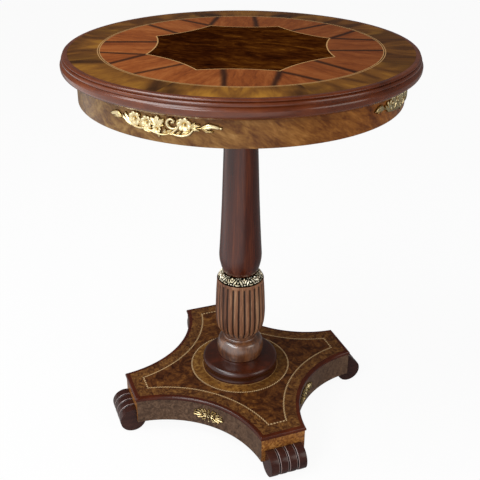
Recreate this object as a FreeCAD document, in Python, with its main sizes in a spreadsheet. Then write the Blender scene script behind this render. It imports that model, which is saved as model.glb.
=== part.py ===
"""Round occasional table: a marquetry top on a reeded column and a concave, four-cornered plinth.

The origin is on the floor under the column's axis, and +Z is up. The plinth's concave sides and the
gilt mounts face +X, -X, +Y and -Y; its corners and scroll feet stand on the diagonals. Lengths are in
millimetres. Every size that can be set by itself is one cell of the sheet "sizes"; what seats on,
fits in or lines up with another piece is worked out from the same cells.
"""

import FreeCAD, Part
import math
import os

import Sketcher

SIZES = {
    # Heights from the floor up, and the gaps that every seat and cut share
    "table_height": 728.0,
    "plinth_clearance": 24.0,
    "plinth_depth": 57.0,
    "disc_height": 29.0,
    "bun_height": 50.4,
    "vase_height": 123.6,
    "glue_gap": 0.05,
    "bore_clearance": 0.5,
    "cut_overrun": 4.0,
    "veneer_thickness": 1.0,
    # Top
    "top_radius": 300.0,
    "top_thickness": 30.5,
    "rim_width": 13.5,
    "crossband_width": 52.5,
    "star_radius": 165.0,
    "star_hollow": 9.0,
    "axis_leaf_apex": 71.0,
    "axis_leaf_spread": 26.0,
    "corner_leaf_spread": 29.5,
    # Apron and the bearers under the top
    "apron_radius": 275.6,
    "apron_depth": 47.5,
    "apron_wall": 19.0,
    "bearer_width": 64.0,
    "bearer_depth": 32.0,
    "glue_block_length": 60.0,
    "glue_block_side": 20.0,
    # Column
    "shaft_radius": 41.0,
    "collar_height": 15.5,
    "collar_foot_radius": 44.2,
    "collar_head_radius": 33.6,
    "collar_valley_share": 0.04,
    "neck_radius": 30.0,
    "vase_radius": 49.3,
    "reed_depth_share": 0.053,
    "bun_radius": 46.5,
    "disc_radius": 75.2,
    # Tie rod that pulls the turnings together
    "rod_radius": 6.0,
    "nut_radius": 10.5,
    "nut_height": 10.0,
    "washer_half_side": 14.0,
    "washer_thickness": 2.5,
    "rod_block_side": 170.0,
    "rod_block_height": 31.0,
    # Plinth
    "corner_reach": 229.0,
    "corner_half_width": 44.7,
    "side_reach": 144.5,
    "moulding_width": 8.0,
    "moulding_depth": 8.0,
    "moulding_overhang": 2.0,
    "mitre_spread": 43.1,
    "border_width": 21.3,
    "rail_thickness": 20.0,
    "rail_half_angle": 24.0,
    # Scroll feet
    "foot_radius": 25.3,
    "foot_reach": 234.5,
    "foot_half_width": 35.0,
    "foot_groove_depth": 2.6,
    "foot_groove_width": 5.0,
    "foot_tread": 0.4,
    # Gilt mounts
    "apron_mount_half_length": 97.0,
    "apron_mount_height": 36.0,
    "apron_mount_relief": 5.0,
    "plinth_mount_half_length": 33.0,
    "plinth_mount_height": 33.0,
    "plinth_mount_relief": 4.0,
}

# Rim section from below, as shares of the rim's width outwards and of the top's thickness upwards.
RIM_SHARES = [
    (0.30, 0.0),
    (1.0, 0.20),
    (1.0, 0.54),
    (0.68, 0.63),
    (0.80, 0.73),
    (0.50, 1.0),
]

# Turned sections from below, as shares of the piece's widest radius and of its height.
SHAFT_SHARES = [(0.732, 0.0), (0.732, 0.044), (1.0, 0.125), (0.79, 0.585), (0.695, 1.0)]
BUN_SHARES = [(0.92, 0.0), (1.0, 0.10), (1.0, 0.52), (0.88, 0.76), (0.65, 0.86), (0.65, 1.0)]
DISC_SHARES = [(1.0, 0.0), (1.0, 0.74), (0.95, 0.87), (0.60, 0.87), (0.60, 1.0)]

# The vase's reeds from below, as shares of its height up and of its radius out.
VASE_SHARES = [(0.0, 0.63), (0.1, 0.92), (0.33, 1.0), (0.963, 0.925)]

# Half of one reed's back, as shares of the reed's width along and of the groove's depth up.
REED_BACK_SHARES = [(0.0, 0.0), (0.24, 0.72), (0.5, 1.0), (0.76, 0.72)]

# The collar's rings of leaves from below, as shares of its height and from its foot to its head radius.
COLLAR_SHARES = [(0.0, 0.0), (0.3, 0.25), (0.55, 0.6), (0.8, 1.0), (1.0, 1.0)]
COLLAR_LEAF_COUNT = 12
REED_COUNT = 26
FOOT_RIB_COUNT = 4

# Section of the plinth's edge moulding, as shares of its width inwards and of its depth down.
MOULDING_SHARES = [(0.42, 0.0), (0.0, 0.42), (0.0, 1.0)]
SIDE_MOULDING_SPARE_ANGLE = 4.0

# One apron mount, in shares of its half length along and of its height up and down:
# ("stem", width, points), ("leaf", s, z, length, width, angle) and ("flower", s, z, radius).
APRON_MOUNT_SHARES = [
    ("stem", 0.11, [(-0.84, 0.02), (-0.42, -0.08), (0.0, -0.26), (0.42, -0.10), (0.84, -0.02)]),
    ("leaf", -0.80, 0.02, 0.20, 0.26, 176.0),
    ("leaf", -0.66, -0.06, 0.24, 0.28, 112.0),
    ("flower", -0.42, 0.02, 0.28),
    ("leaf", 0.0, -0.24, 0.26, 0.36, 132.0),
    ("leaf", 0.0, -0.24, 0.28, 0.36, 90.0),
    ("leaf", 0.0, -0.24, 0.26, 0.36, 48.0),
    ("flower", 0.42, 0.0, 0.28),
    ("leaf", 0.66, -0.06, 0.24, 0.28, 68.0),
    ("leaf", 0.80, -0.02, 0.20, 0.24, 4.0),
]

# One plinth mount: a fan of five leaves.
PLINTH_MOUNT_SHARES = [
    ("leaf", 0.0, -0.46, 0.94, 0.36, 90.0),
    ("leaf", 0.0, -0.46, 0.94, 0.36, 57.0),
    ("leaf", 0.0, -0.46, 0.94, 0.36, 123.0),
    ("leaf", 0.0, -0.46, 1.0, 0.34, 24.0),
    ("leaf", 0.0, -0.46, 1.0, 0.34, 156.0),
]
LEAF_SHOULDER_SHARE = 0.45
PETAL_COUNT = 6

QUARTERS = ("right", "back", "left", "front")
CORNERS = ("back_right", "back_left", "front_left", "front_right")
QUARTER_TURN = 90.0
HALF_RIGHT_ANGLE = 45.0
FULL_TURN = 360.0


class Size:
    """A number together with the sheet expression that gives it."""

    def __init__(self, number, text):
        self.number = number
        self.text = text

    def __add__(self, other):
        other = as_size(other)
        return Size(self.number + other.number, "(%s + %s)" % (self.text, other.text))

    def __sub__(self, other):
        other = as_size(other)
        return Size(self.number - other.number, "(%s - %s)" % (self.text, other.text))

    def __rsub__(self, other):
        return as_size(other) - self

    def __mul__(self, other):
        other = as_size(other)
        return Size(self.number * other.number, "(%s * %s)" % (self.text, other.text))

    def __truediv__(self, other):
        other = as_size(other)
        return Size(self.number / other.number, "(%s / %s)" % (self.text, other.text))

    def __neg__(self):
        return as_size(0) - self


def as_size(value):
    if isinstance(value, Size):
        return value
    return Size(float(value), repr(float(value)))


def root(value):
    return Size(math.sqrt(value.number), "sqrt(%s)" % value.text)


def sine(degrees):
    degrees = as_size(degrees)
    return Size(math.sin(math.radians(degrees.number)), "sin(%s)" % degrees.text)


def cosine(degrees):
    degrees = as_size(degrees)
    return Size(math.cos(math.radians(degrees.number)), "cos(%s)" % degrees.text)


doc = FreeCAD.newDocument("side_table")
sheet = doc.addObject("Spreadsheet::Sheet", "sizes")
for row, (name, number) in enumerate(SIZES.items(), start=1):
    sheet.set("A%d" % row, name)
    sheet.set("B%d" % row, str(number))
    sheet.setAlias("B%d" % row, name)
doc.recompute()


def size(name):
    return Size(float(sheet.get(name)), "sizes." + name)


nodes = {}

# Sizes that several pieces share
HALF_ROOT = sine(HALF_RIGHT_ANGLE)
plinth_top = size("plinth_clearance") + size("plinth_depth")
disc_top = plinth_top + size("disc_height")
bun_top = disc_top + size("bun_height")
vase_top = bun_top + size("vase_height")
top_underside = size("table_height") - size("top_thickness")
bearer_underside = top_underside - size("bearer_depth")
core_radius = size("top_radius") - size("rim_width")
core_top = size("table_height") - size("veneer_thickness")
crossband_inner = core_radius - size("crossband_width")
apron_inner = size("apron_radius") - size("apron_wall")
rod_bore = size("rod_radius") + size("bore_clearance")
board_ledge = plinth_top - size("moulding_depth")
rod_block_underside = board_ledge - size("rod_block_height")
nut_recess_depth = size("washer_thickness") + size("nut_height") + size("bore_clearance") * 2
nut_seat = top_underside - nut_recess_depth
grip = size("washer_thickness") + size("nut_height")
carcass_inset = size("moulding_overhang")
border_inset = size("moulding_width") + size("border_width")

# The plinth's concave sides are arcs about four centres on the X and Y axes.
side_half_chord = (size("corner_reach") - size("corner_half_width")) * HALF_ROOT
side_chord_x = (size("corner_reach") + size("corner_half_width")) * HALF_ROOT
side_rise = side_chord_x - size("side_reach")
side_radius = (side_half_chord * side_half_chord + side_rise * side_rise) / (side_rise * 2)
side_centre = size("side_reach") + side_radius
centre_offset = side_centre * HALF_ROOT


def corner_half(inset):
    """Half the width of a plinth corner, measured on the outline that lies inset inside the edge."""
    reach = size("corner_reach") - inset - centre_offset
    radius = side_radius + inset
    return centre_offset - root(radius * radius - reach * reach)


def turned_to(u, v, quarter):
    """The point (u, v) of the -Y to +Y frame of the +X side, carried to another side."""
    for _ in range(quarter):
        u, v = -v, u
    return u, v


def corner_point(reach, across, quarter):
    """A point given along and across a diagonal, in the table's X and Y."""
    return turned_to((reach - across) * HALF_ROOT, (reach + across) * HALF_ROOT, quarter)


class Outline:
    """A chain of lines and arcs in a sketch, with every point tied to the sheet."""

    def __init__(self, sketch, u, v):
        self.sketch = sketch
        self.start = (as_size(u), as_size(v))
        self.here = self.start
        self.pieces = []

    def line(self, u, v):
        end = (as_size(u), as_size(v))
        a, b = as_vector(self.here), as_vector(end)
        self.add(Part.LineSegment(a, b), 1, 2, end)
        return self

    def arc(self, over_u, over_v, u, v):
        """An arc through a middle point to an end point."""
        end = (as_size(u), as_size(v))
        over = (as_size(over_u), as_size(over_v))
        a, m, b = as_vector(self.here), as_vector(over), as_vector(end)
        centre = Part.Arc(a, m, b).toShape().Curve.Center
        left_hand = (m - a).cross(b - m).z > 0
        first, last = (a, b) if left_hand else (b, a)
        low = math.atan2(first.y - centre.y, first.x - centre.x)
        high = math.atan2(last.y - centre.y, last.x - centre.x)
        if high < low:
            high += 2 * math.pi
        circle = Part.Circle(centre, FreeCAD.Vector(0, 0, 1), (a - centre).Length)
        ends = (1, 2) if left_hand else (2, 1)
        geometry = self.add(Part.ArcOfCircle(circle, low, high), *ends, end)
        mark = self.sketch.addGeometry(Part.Point(m), True)
        pin(self.sketch, mark, 1, over)
        self.sketch.addConstraint(Sketcher.Constraint("PointOnObject", mark, 1, geometry))
        return self

    def close(self):
        return self.line(*self.start)

    def add(self, shape, first, last, end):
        geometry = self.sketch.addGeometry(shape, False)
        if self.pieces:
            before = self.pieces[-1]
            self.sketch.addConstraint(
                Sketcher.Constraint("Coincident", before[0], before[2], geometry, first)
            )
        else:
            pin(self.sketch, geometry, first, self.start)
        self.pieces.append((geometry, first, last))
        if (as_vector(end) - as_vector(self.start)).Length < 1e-9:
            whole = self.pieces[0]
            self.sketch.addConstraint(Sketcher.Constraint("Coincident", geometry, last, whole[0], whole[1]))
        else:
            pin(self.sketch, geometry, last, end)
        self.here = end
        return geometry


def as_vector(point):
    return FreeCAD.Vector(point[0].number, point[1].number, 0)


def pin(sketch, geometry, position, point):
    """Hold a sketch point at a place that the sheet gives."""
    for kind, value in (("DistanceX", point[0]), ("DistanceY", point[1])):
        index = sketch.addConstraint(Sketcher.Constraint(kind, geometry, position, value.number))
        tie(sketch, index, "place", value)


def tie(sketch, index, word, value):
    """Let a constraint follow the sheet, where its value comes from the sheet."""
    if "sizes." in value.text:
        name = "%s_%d" % (word, index)
        sketch.renameConstraint(index, name)
        sketch.setExpression("Constraints." + name, value.text)


def circle(sketch, u, v, radius):
    """A full circle whose centre and radius come from the sheet."""
    centre = (as_size(u), as_size(v))
    shape = Part.Circle(as_vector(centre), FreeCAD.Vector(0, 0, 1), radius.number)
    geometry = sketch.addGeometry(shape, False)
    pin(sketch, geometry, 3, centre)
    index = sketch.addConstraint(Sketcher.Constraint("Radius", geometry, radius.number))
    tie(sketch, index, "radius", radius)


def rectangle(sketch, low_u, low_v, high_u, high_v):
    Outline(sketch, low_u, low_v).line(high_u, low_v).line(high_u, high_v).line(low_u, high_v).close()


def polygon(sketch, points):
    """A closed chain of lines, added in one go because a sketch is solved after each addition."""
    corners = [(as_size(u), as_size(v)) for u, v in points]
    vectors = [as_vector(corner) for corner in corners]
    sides = [Part.LineSegment(a, b) for a, b in zip(vectors, vectors[1:] + vectors[:1])]
    first = sketch.addGeometry(sides, False)[0]
    links, pins = [], []
    for number, corner in enumerate(corners):
        following = (number + 1) % len(corners)
        links.append(Sketcher.Constraint("Coincident", first + number, 2, first + following, 1))
        for kind, value in zip(("DistanceX", "DistanceY"), corner):
            pins.append((Sketcher.Constraint(kind, first + number, 1, value.number), value))
    sketch.addConstraint(links)
    indices = sketch.addConstraint([constraint for constraint, _ in pins])
    for index, (_, value) in zip(indices, pins):
        tie(sketch, index, "place", value)


def bind(item, path, value):
    item.setExpression(path, as_size(value).text)


def finish(item, label):
    """Name a finished sub-part and list it for export."""
    item.Label = label
    nodes[label] = item
    return item


# PartDesign pieces


def new_body(label, turn=0.0):
    body = doc.addObject("PartDesign::Body", label + "_body")
    body.Placement = FreeCAD.Placement(FreeCAD.Vector(), FreeCAD.Rotation(FreeCAD.Vector(0, 0, 1), turn))
    return finish(body, label)


def origin_feature(body, role):
    return [item for item in body.Origin.OriginFeatures if item.Role == role][0]


def body_sketch(body, name, plane="XY_Plane", offset=None):
    sketch = body.newObject("Sketcher::SketchObject", body.Label + "_" + name)
    sketch.AttachmentSupport = (origin_feature(body, plane), [""])
    sketch.MapMode = "FlatFace"
    if offset is not None:
        for axis, value in zip("xyz", offset):
            bind(sketch, "AttachmentOffset.Base." + axis, value)
    return sketch


def level_sketch(body, name, height):
    return body_sketch(body, name, "XY_Plane", (0, 0, height))


def body_feature(body, kind, sketch, name):
    feature = body.newObject("PartDesign::" + kind, body.Label + "_" + name)
    feature.Profile = sketch
    return feature


def pad(body, sketch, length, name="pad"):
    feature = body_feature(body, "Pad", sketch, name)
    bind(feature, "Length", length)
    return feature


def pocket(body, sketch, length, name, upwards=False):
    """Cut down from the sketch, or up from it, and see that something was cut."""
    doc.recompute()
    before = body.Shape.Volume
    feature = body_feature(body, "Pocket", sketch, name)
    bind(feature, "Length", length)
    feature.Reversed = upwards
    doc.recompute()
    if body.Shape.Volume >= before:
        raise RuntimeError("nothing was cut by " + feature.Name)
    return feature


def revolve(body, sketch, name="turning"):
    feature = body_feature(body, "Revolution", sketch, name)
    feature.ReferenceAxis = (sketch, ["V_Axis"])
    feature.Angle = FULL_TURN
    return feature


def polar_pattern(body, originals, count, name="pattern"):
    pattern = body.newObject("PartDesign::PolarPattern", body.Label + "_" + name)
    pattern.Originals = originals
    pattern.Axis = (origin_feature(body, "Z_Axis"), [""])
    pattern.Angle = FULL_TURN
    bind(pattern, "Occurrences", count)
    body.Tip = pattern
    return pattern


def turning(label, radius, bottom, height, shares, bore):
    """A turned piece with a bore, its section given as shares of its radius and height."""
    body = new_body(label)
    sketch = body_sketch(body, "section", "XZ_Plane")
    chain = Outline(sketch, bore, bottom)
    for across, up in shares:
        chain.line(radius * across, bottom + height * up)
    chain.line(bore, bottom + height).close()
    revolve(body, sketch)
    return body


# Part pieces, for flat work that is cut from one sheet


def flat_sketch(name, height):
    sketch = doc.addObject("Sketcher::SketchObject", name)
    bind(sketch, "Placement.Base.z", height)
    return sketch


def extrusion(name, sketch, length):
    solid = doc.addObject("Part::Extrusion", name)
    solid.Base = sketch
    solid.DirMode = "Custom"
    solid.Dir = FreeCAD.Vector(0, 0, 1)
    solid.Solid = True
    bind(solid, "LengthFwd", length)
    return solid


def boolean(kind, name, base, tool):
    result = doc.addObject("Part::" + kind, name)
    result.Base = base
    result.Tool = tool
    return result


def compound(name, pieces):
    group = doc.addObject("Part::Compound", name)
    group.Links = pieces
    return group


def upright_sketch(name, turn):
    """A sketch in the plane of the column's axis, turned about it."""
    sketch = doc.addObject("Sketcher::SketchObject", name)
    upright = FreeCAD.Rotation(FreeCAD.Vector(1, 0, 0), QUARTER_TURN)
    facing = FreeCAD.Rotation(FreeCAD.Vector(0, 0, 1), turn)
    sketch.Placement = FreeCAD.Placement(FreeCAD.Vector(), facing * upright)
    return sketch


def sectors(label, sketch, count, turn):
    """One section swung about the column's axis into equal lengths, laid end to end."""
    pieces = []
    for number in range(count):
        swing = doc.addObject("Part::Revolution", "%s_sector_%d" % (label, number + 1))
        swing.Source = sketch
        swing.Axis = FreeCAD.Vector(0, 0, 1)
        swing.Angle = FULL_TURN / count
        swing.Solid = True
        angle = turn + number * FULL_TURN / count
        swing.Placement = FreeCAD.Placement(
            FreeCAD.Vector(), FreeCAD.Rotation(FreeCAD.Vector(0, 0, 1), angle)
        )
        pieces.append(swing)
    return finish(compound(label + "_set", pieces), label)


# Top


def top_core():
    body = new_body("top_core")
    sketch = level_sketch(body, "disc", top_underside)
    circle(sketch, 0, 0, core_radius - size("glue_gap"))
    pad(body, sketch, core_top - top_underside)


def top_lipping():
    """Solid moulded rim in four lengths round the core."""
    sketch = upright_sketch("top_lipping_section", 0.0)
    chain = Outline(sketch, core_radius, top_underside)
    for across, up in RIM_SHARES:
        chain.line(core_radius + size("rim_width") * across, top_underside + size("top_thickness") * up)
    chain.line(core_radius, size("table_height")).close()
    sectors("top_lipping", sketch, 4, HALF_RIGHT_ANGLE)


def star_outline(sketch):
    """Eight points joined by hollow arcs."""
    valley_angle = HALF_RIGHT_ANGLE / 2
    tip = size("star_radius")
    valley = tip * cosine(valley_angle) - size("star_hollow")
    chain = Outline(sketch, tip, 0)
    for number in range(1, 9):
        middle = (2 * number - 1) * valley_angle
        end = 2 * number * valley_angle % FULL_TURN
        end_point = (tip * cosine(end), tip * sine(end)) if end else (tip, as_size(0))
        chain.arc(valley * cosine(middle), valley * sine(middle), *end_point)


def leaf_wedges(name, turn, apex, spread):
    """Four flat wedges that open outwards from a point, used to cut the fan into leaves."""
    reach = size("top_radius")
    half = (reach - apex) * sine(spread) / cosine(spread)
    sketch = flat_sketch(name + "_outline", core_top - size("cut_overrun"))
    for number in range(4):
        angle = turn + number * QUARTER_TURN
        along, across = cosine(angle), sine(angle)
        polygon(
            sketch,
            [
                (apex * along, apex * across),
                (reach * along + half * across, reach * across - half * along),
                (reach * along - half * across, reach * across + half * along),
            ],
        )
    return extrusion(name, sketch, size("veneer_thickness") + size("cut_overrun") * 2)


def top_veneers():
    """Burl star, a fan of sixteen leaves round it and a crossbanded border."""
    thickness = size("veneer_thickness")
    star = flat_sketch("star_sketch", core_top)
    star_outline(star)
    finish(extrusion("star_veneer_sheet", star, thickness), "star_veneer")

    fan = flat_sketch("fan_sketch", core_top)
    star_outline(fan)
    circle(fan, 0, 0, crossband_inner)
    blank = extrusion("fan_blank", fan, thickness)
    axis_wedges = leaf_wedges("axis_wedges", 0.0, size("axis_leaf_apex"), size("axis_leaf_spread"))
    corner_wedges = leaf_wedges(
        "corner_wedges", HALF_RIGHT_ANGLE, size("star_radius"), size("corner_leaf_spread")
    )
    finish(boolean("Common", "axis_leaf_cut", blank, axis_wedges), "fan_axis_leaves")
    finish(boolean("Common", "corner_leaf_cut", blank, corner_wedges), "fan_corner_leaves")
    rest = boolean("Cut", "fan_without_axis_leaves", blank, axis_wedges)
    finish(boolean("Cut", "fan_rest", rest, corner_wedges), "fan_side_leaves")

    border = upright_sketch("crossband_section", 0.0)
    rectangle(border, crossband_inner, core_top, core_radius, size("table_height"))
    sectors("crossband_veneers", border, 8, 0.0)


# Apron and bearers


def apron():
    body = new_body("apron_ring")
    sketch = level_sketch(body, "ring", top_underside - size("apron_depth"))
    circle(sketch, 0, 0, size("apron_radius"))
    circle(sketch, 0, 0, apron_inner)
    pad(body, sketch, size("apron_depth"))


def apron_glue_blocks():
    """Eight blocks in the angle between the apron and the top."""
    half = size("glue_block_length") / 2
    outer = root((apron_inner - size("glue_gap")) * (apron_inner - size("glue_gap")) - half * half)
    body = new_body("apron_glue_blocks", HALF_RIGHT_ANGLE / 2)
    sketch = level_sketch(body, "block", top_underside - size("glue_block_side"))
    rectangle(sketch, outer - size("glue_block_side"), -half, outer, half)
    block = pad(body, sketch, size("glue_block_side"))
    polar_pattern(body, [block], 8)


def bearer(label, turn, is_upper):
    """One of two bars that cross under the top, halved into each other at the column."""
    half_width = size("bearer_width") / 2
    half_length = root(apron_inner * apron_inner - half_width * half_width) - size("glue_gap")
    half_depth = size("bearer_depth") / 2
    body = new_body(label, turn)
    sketch = level_sketch(body, "bar", bearer_underside)
    rectangle(sketch, -half_length, -half_width, half_length, half_width)
    circle(sketch, 0, 0, rod_bore)
    pad(body, sketch, size("bearer_depth"))
    notch_half = half_width + size("glue_gap")
    halving = level_sketch(body, "halving", bearer_underside if is_upper else top_underside)
    rectangle(halving, -notch_half, -half_width * 2, notch_half, half_width * 2)
    pocket(body, halving, half_depth, "halving_pocket", upwards=is_upper)
    if is_upper:
        recess = level_sketch(body, "nut_recess", top_underside)
        circle(recess, 0, 0, size("washer_half_side") / HALF_ROOT + size("bore_clearance"))
        pocket(body, recess, nut_recess_depth, "nut_recess_pocket")


# Column


def column_collar():
    """Gilt rings of leaves round the shaft's neck, standing on the vase and closing in upwards."""
    body = new_body("column_collar")
    head, foot = size("collar_head_radius"), size("collar_foot_radius")
    steps = zip(COLLAR_SHARES, COLLAR_SHARES[1:])
    for number, ((low, inward), (high, _)) in enumerate(steps, start=1):
        ridge = foot - (foot - head) * inward
        ring = level_sketch(body, "ring_%d" % number, vase_top + size("collar_height") * low)
        polygon(ring, around(COLLAR_LEAF_COUNT, ridge, ridge * (1 - size("collar_valley_share"))))
        pad(body, ring, size("collar_height") * (high - low), "leaves_%d" % number)
    bore = level_sketch(body, "bore", vase_top + size("collar_height"))
    corner = (size("neck_radius") + size("glue_gap")) / cosine(FULL_TURN / (COLLAR_LEAF_COUNT * 4))
    polygon(bore, around(COLLAR_LEAF_COUNT, corner, corner))
    pocket(body, bore, size("collar_height") + size("cut_overrun"), "bore_pocket")


def around(count, ridge, valley):
    """Points of a ring that steps from ridge to valley, twice for each repeat."""
    step = FULL_TURN / (count * 2)
    points = []
    for number in range(int(count * 2)):
        reach = valley if number % 2 else ridge
        points.append((reach * cosine(step * number), reach * sine(step * number)))
    return points


def reeded_vase():
    """Vase with convex reeds carved all round it, under a plain lip.

    Each level is a ring of reed backs that meet in grooves. The levels are one ring at different
    sizes, so flat panels join them, and every reed runs up the vase in one piece and narrows with it.
    """
    rings = []
    for up, out in VASE_SHARES:
        height = (bun_top + size("vase_height") * up).number
        rings.append(reed_ring((size("vase_radius") * out).number, height))
    panels = [flat_panel(rings[0]), flat_panel(rings[-1])]
    for low, high in zip(rings, rings[1:]):
        for number in range(len(low)):
            panels.append(flat_panel([low[number - 1], low[number], high[number], high[number - 1]]))
    reeds = doc.addObject("Part::Feature", "vase_reeds")
    reeds.Shape = closed_solid(panels)

    lip_foot, lip_radius = VASE_SHARES[-1]
    lip = cylinder("vase_lip", size("vase_radius") * lip_radius, size("vase_height") * (1 - lip_foot))
    bind(lip, "Placement.Base.z", bun_top + size("vase_height") * lip_foot)
    bore = cylinder("vase_bore", rod_bore, size("vase_height") + size("cut_overrun") * 2)
    bind(bore, "Placement.Base.z", bun_top - size("cut_overrun"))
    blank = boolean("Fuse", "vase_blank", reeds, lip)
    finish(boolean("Cut", "vase_bored", blank, bore), "reeded_vase")


def reed_ring(crown, height):
    """Points of one level, reed by reed."""
    points = []
    for number in range(REED_COUNT):
        for along, up in REED_BACK_SHARES:
            angle = math.radians((number + along) * FULL_TURN / REED_COUNT)
            reach = crown * (1 - size("reed_depth_share").number * (1 - up))
            points.append(FreeCAD.Vector(reach * math.cos(angle), reach * math.sin(angle), height))
    return points


def flat_panel(corners):
    return Part.Face(Part.makePolygon(corners + corners[:1]))


def closed_solid(panels):
    shell = Part.Shell(panels)
    shell.sewShape()
    solid = Part.Solid(shell)
    if solid.Volume < 0:
        solid.reverse()
    return solid


def cylinder(name, radius, height):
    item = doc.addObject("Part::Cylinder", name)
    bind(item, "Radius", radius)
    bind(item, "Height", height)
    return item


def tie_rod():
    """Threaded rod from under the plinth to the bearers, with a nut and a square washer at each end."""
    body = new_body("tie_rod")
    rod_low = rod_block_underside - grip
    rod_high = nut_seat + grip
    rod = level_sketch(body, "rod", rod_low)
    circle(rod, 0, 0, size("rod_radius"))
    pad(body, rod, rod_high - rod_low, "rod_pad")
    for name, washer_low, nut_low in (
        ("low", rod_block_underside - size("washer_thickness"), rod_low),
        ("high", nut_seat, nut_seat + size("washer_thickness")),
    ):
        washer = level_sketch(body, name + "_washer", washer_low)
        half = size("washer_half_side")
        rectangle(washer, -half, -half, half, half)
        pad(body, washer, size("washer_thickness"), name + "_washer_pad")
        nut = level_sketch(body, name + "_nut", nut_low)
        polygon(nut, around(3, size("nut_radius"), size("nut_radius")))
        pad(body, nut, size("nut_height"), name + "_nut_pad")


# Plinth


def plinth_loop(sketch, inset):
    """The plinth's closed outline, moved in by inset: four short ends and four hollow sides."""
    reach = size("corner_reach") - inset
    half = corner_half(inset)
    side = size("side_reach") - inset
    chain = Outline(sketch, *corner_point(reach, -half, 0))
    for quarter in range(4):
        chain.line(*corner_point(reach, half, quarter))
        middle = turned_to(as_size(0), side, quarter)
        chain.arc(*middle, *corner_point(reach, -half, quarter + 1))


def side_strip(sketch, quarter, outer_inset, inner_inset):
    """A strip along one hollow side, mitred at its ends."""
    chain = Outline(
        sketch, *corner_point(size("corner_reach") - outer_inset, corner_half(outer_inset), quarter)
    )
    for inset, along in ((outer_inset, 1), (inner_inset, -1)):
        reach, half = size("corner_reach") - inset, corner_half(inset)
        ends = [corner_point(reach, half, quarter), corner_point(reach, -half, quarter + 1)]
        first, last = ends[::along]
        if along < 0:
            chain.line(*first)
        chain.arc(*turned_to(as_size(0), size("side_reach") - inset, quarter), *last)
    chain.close()


def end_strip(sketch, quarter, outer_inset, inner_inset):
    """A strip across one corner, mitred at its ends."""
    outer, inner = size("corner_reach") - outer_inset, size("corner_reach") - inner_inset
    points = [
        corner_point(outer, -corner_half(outer_inset), quarter),
        corner_point(outer, corner_half(outer_inset), quarter),
        corner_point(inner, corner_half(inner_inset), quarter),
        corner_point(inner, -corner_half(inner_inset), quarter),
    ]
    polygon(sketch, points)


def plinth_board():
    """Panel that lies on the rails, inside the mouldings, and carries the plinth's veneers."""
    body = new_body("plinth_board")
    sketch = level_sketch(body, "outline", board_ledge)
    plinth_loop(sketch, size("moulding_width"))
    circle(sketch, 0, 0, rod_bore)
    pad(body, sketch, plinth_top - size("veneer_thickness") - board_ledge)


def rod_block():
    """Thick block under the middle of the panel, which takes the pull of the tie rod."""
    body = new_body("rod_block")
    half = size("rod_block_side") / 2
    sketch = level_sketch(body, "block", rod_block_underside)
    rectangle(sketch, -half, -half, half, half)
    circle(sketch, 0, 0, rod_bore)
    pad(body, sketch, size("rod_block_height"))


def rail(label, turn):
    """Veneered curved rail behind one hollow side, cut square to its own curve at the ends."""
    outer = side_radius + carcass_inset
    inner = outer + size("rail_thickness")
    swing = size("rail_half_angle")
    body = new_body(label, turn)
    sketch = level_sketch(body, "outline", size("plinth_clearance"))
    ends = [side_centre - outer * cosine(swing), outer * sine(swing)]
    backs = [side_centre - inner * cosine(swing), inner * sine(swing)]
    chain = Outline(sketch, ends[0], ends[1])
    chain.arc(side_centre - outer, 0, ends[0], -ends[1])
    chain.line(backs[0], -backs[1])
    chain.arc(side_centre - inner, 0, backs[0], backs[1])
    chain.close()
    pad(body, sketch, board_ledge - size("plinth_clearance"))


def corner_block(label, turn):
    """Solid veneered corner that carries a foot and closes the ends of two rails."""
    outer = side_radius + carcass_inset
    inner = outer + size("rail_thickness")
    reach = size("corner_reach") - carcass_inset
    half = corner_half(carcass_inset)
    swing = size("rail_half_angle") + HALF_RIGHT_ANGLE
    side_end = (centre_offset - outer * cosine(swing), centre_offset - outer * sine(swing))
    back_end = (centre_offset - inner * cosine(swing), centre_offset - inner * sine(swing))
    middle_angle = (corner_angle(reach, half) + swing) / 2
    middle = (centre_offset - outer * cosine(middle_angle), centre_offset - outer * sine(middle_angle))
    body = new_body(label, turn)
    sketch = level_sketch(body, "outline", size("plinth_clearance"))
    chain = Outline(sketch, reach, -half)
    chain.line(reach, half)
    chain.arc(middle[0], middle[1], side_end[0], side_end[1])
    chain.line(*back_end).line(back_end[0], -back_end[1]).line(side_end[0], -side_end[1])
    chain.arc(middle[0], -middle[1], reach, -half)
    pad(body, sketch, board_ledge - size("plinth_clearance"))


def corner_angle(reach, half):
    """The angle at a side's centre between the diagonal's direction and a corner's outer edge."""
    run = centre_offset - reach
    rise = centre_offset - half
    return Size(
        math.degrees(math.atan2(rise.number, run.number)),
        "(atan2(%s; %s) / 1 deg)" % (rise.text, run.text),
    )


def plinth_top_veneers():
    """Burr border in eight mitred lengths, and the burl field inside it."""
    level = plinth_top - size("veneer_thickness")
    sheets = []
    for name, strip in (("side_border", side_strip), ("end_border", end_strip)):
        sketch = flat_sketch(name + "_sketch", level)
        for quarter in range(4):
            strip(sketch, quarter, size("moulding_width"), border_inset)
        sheets.append(extrusion(name + "_sheet", sketch, size("veneer_thickness")))
    finish(compound("border_set", sheets), "plinth_border_veneers")

    field = flat_sketch("field_sketch", level)
    plinth_loop(field, border_inset)
    circle(field, 0, 0, rod_bore)
    finish(extrusion("field_sheet", field, size("veneer_thickness")), "plinth_field_veneer")


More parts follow.
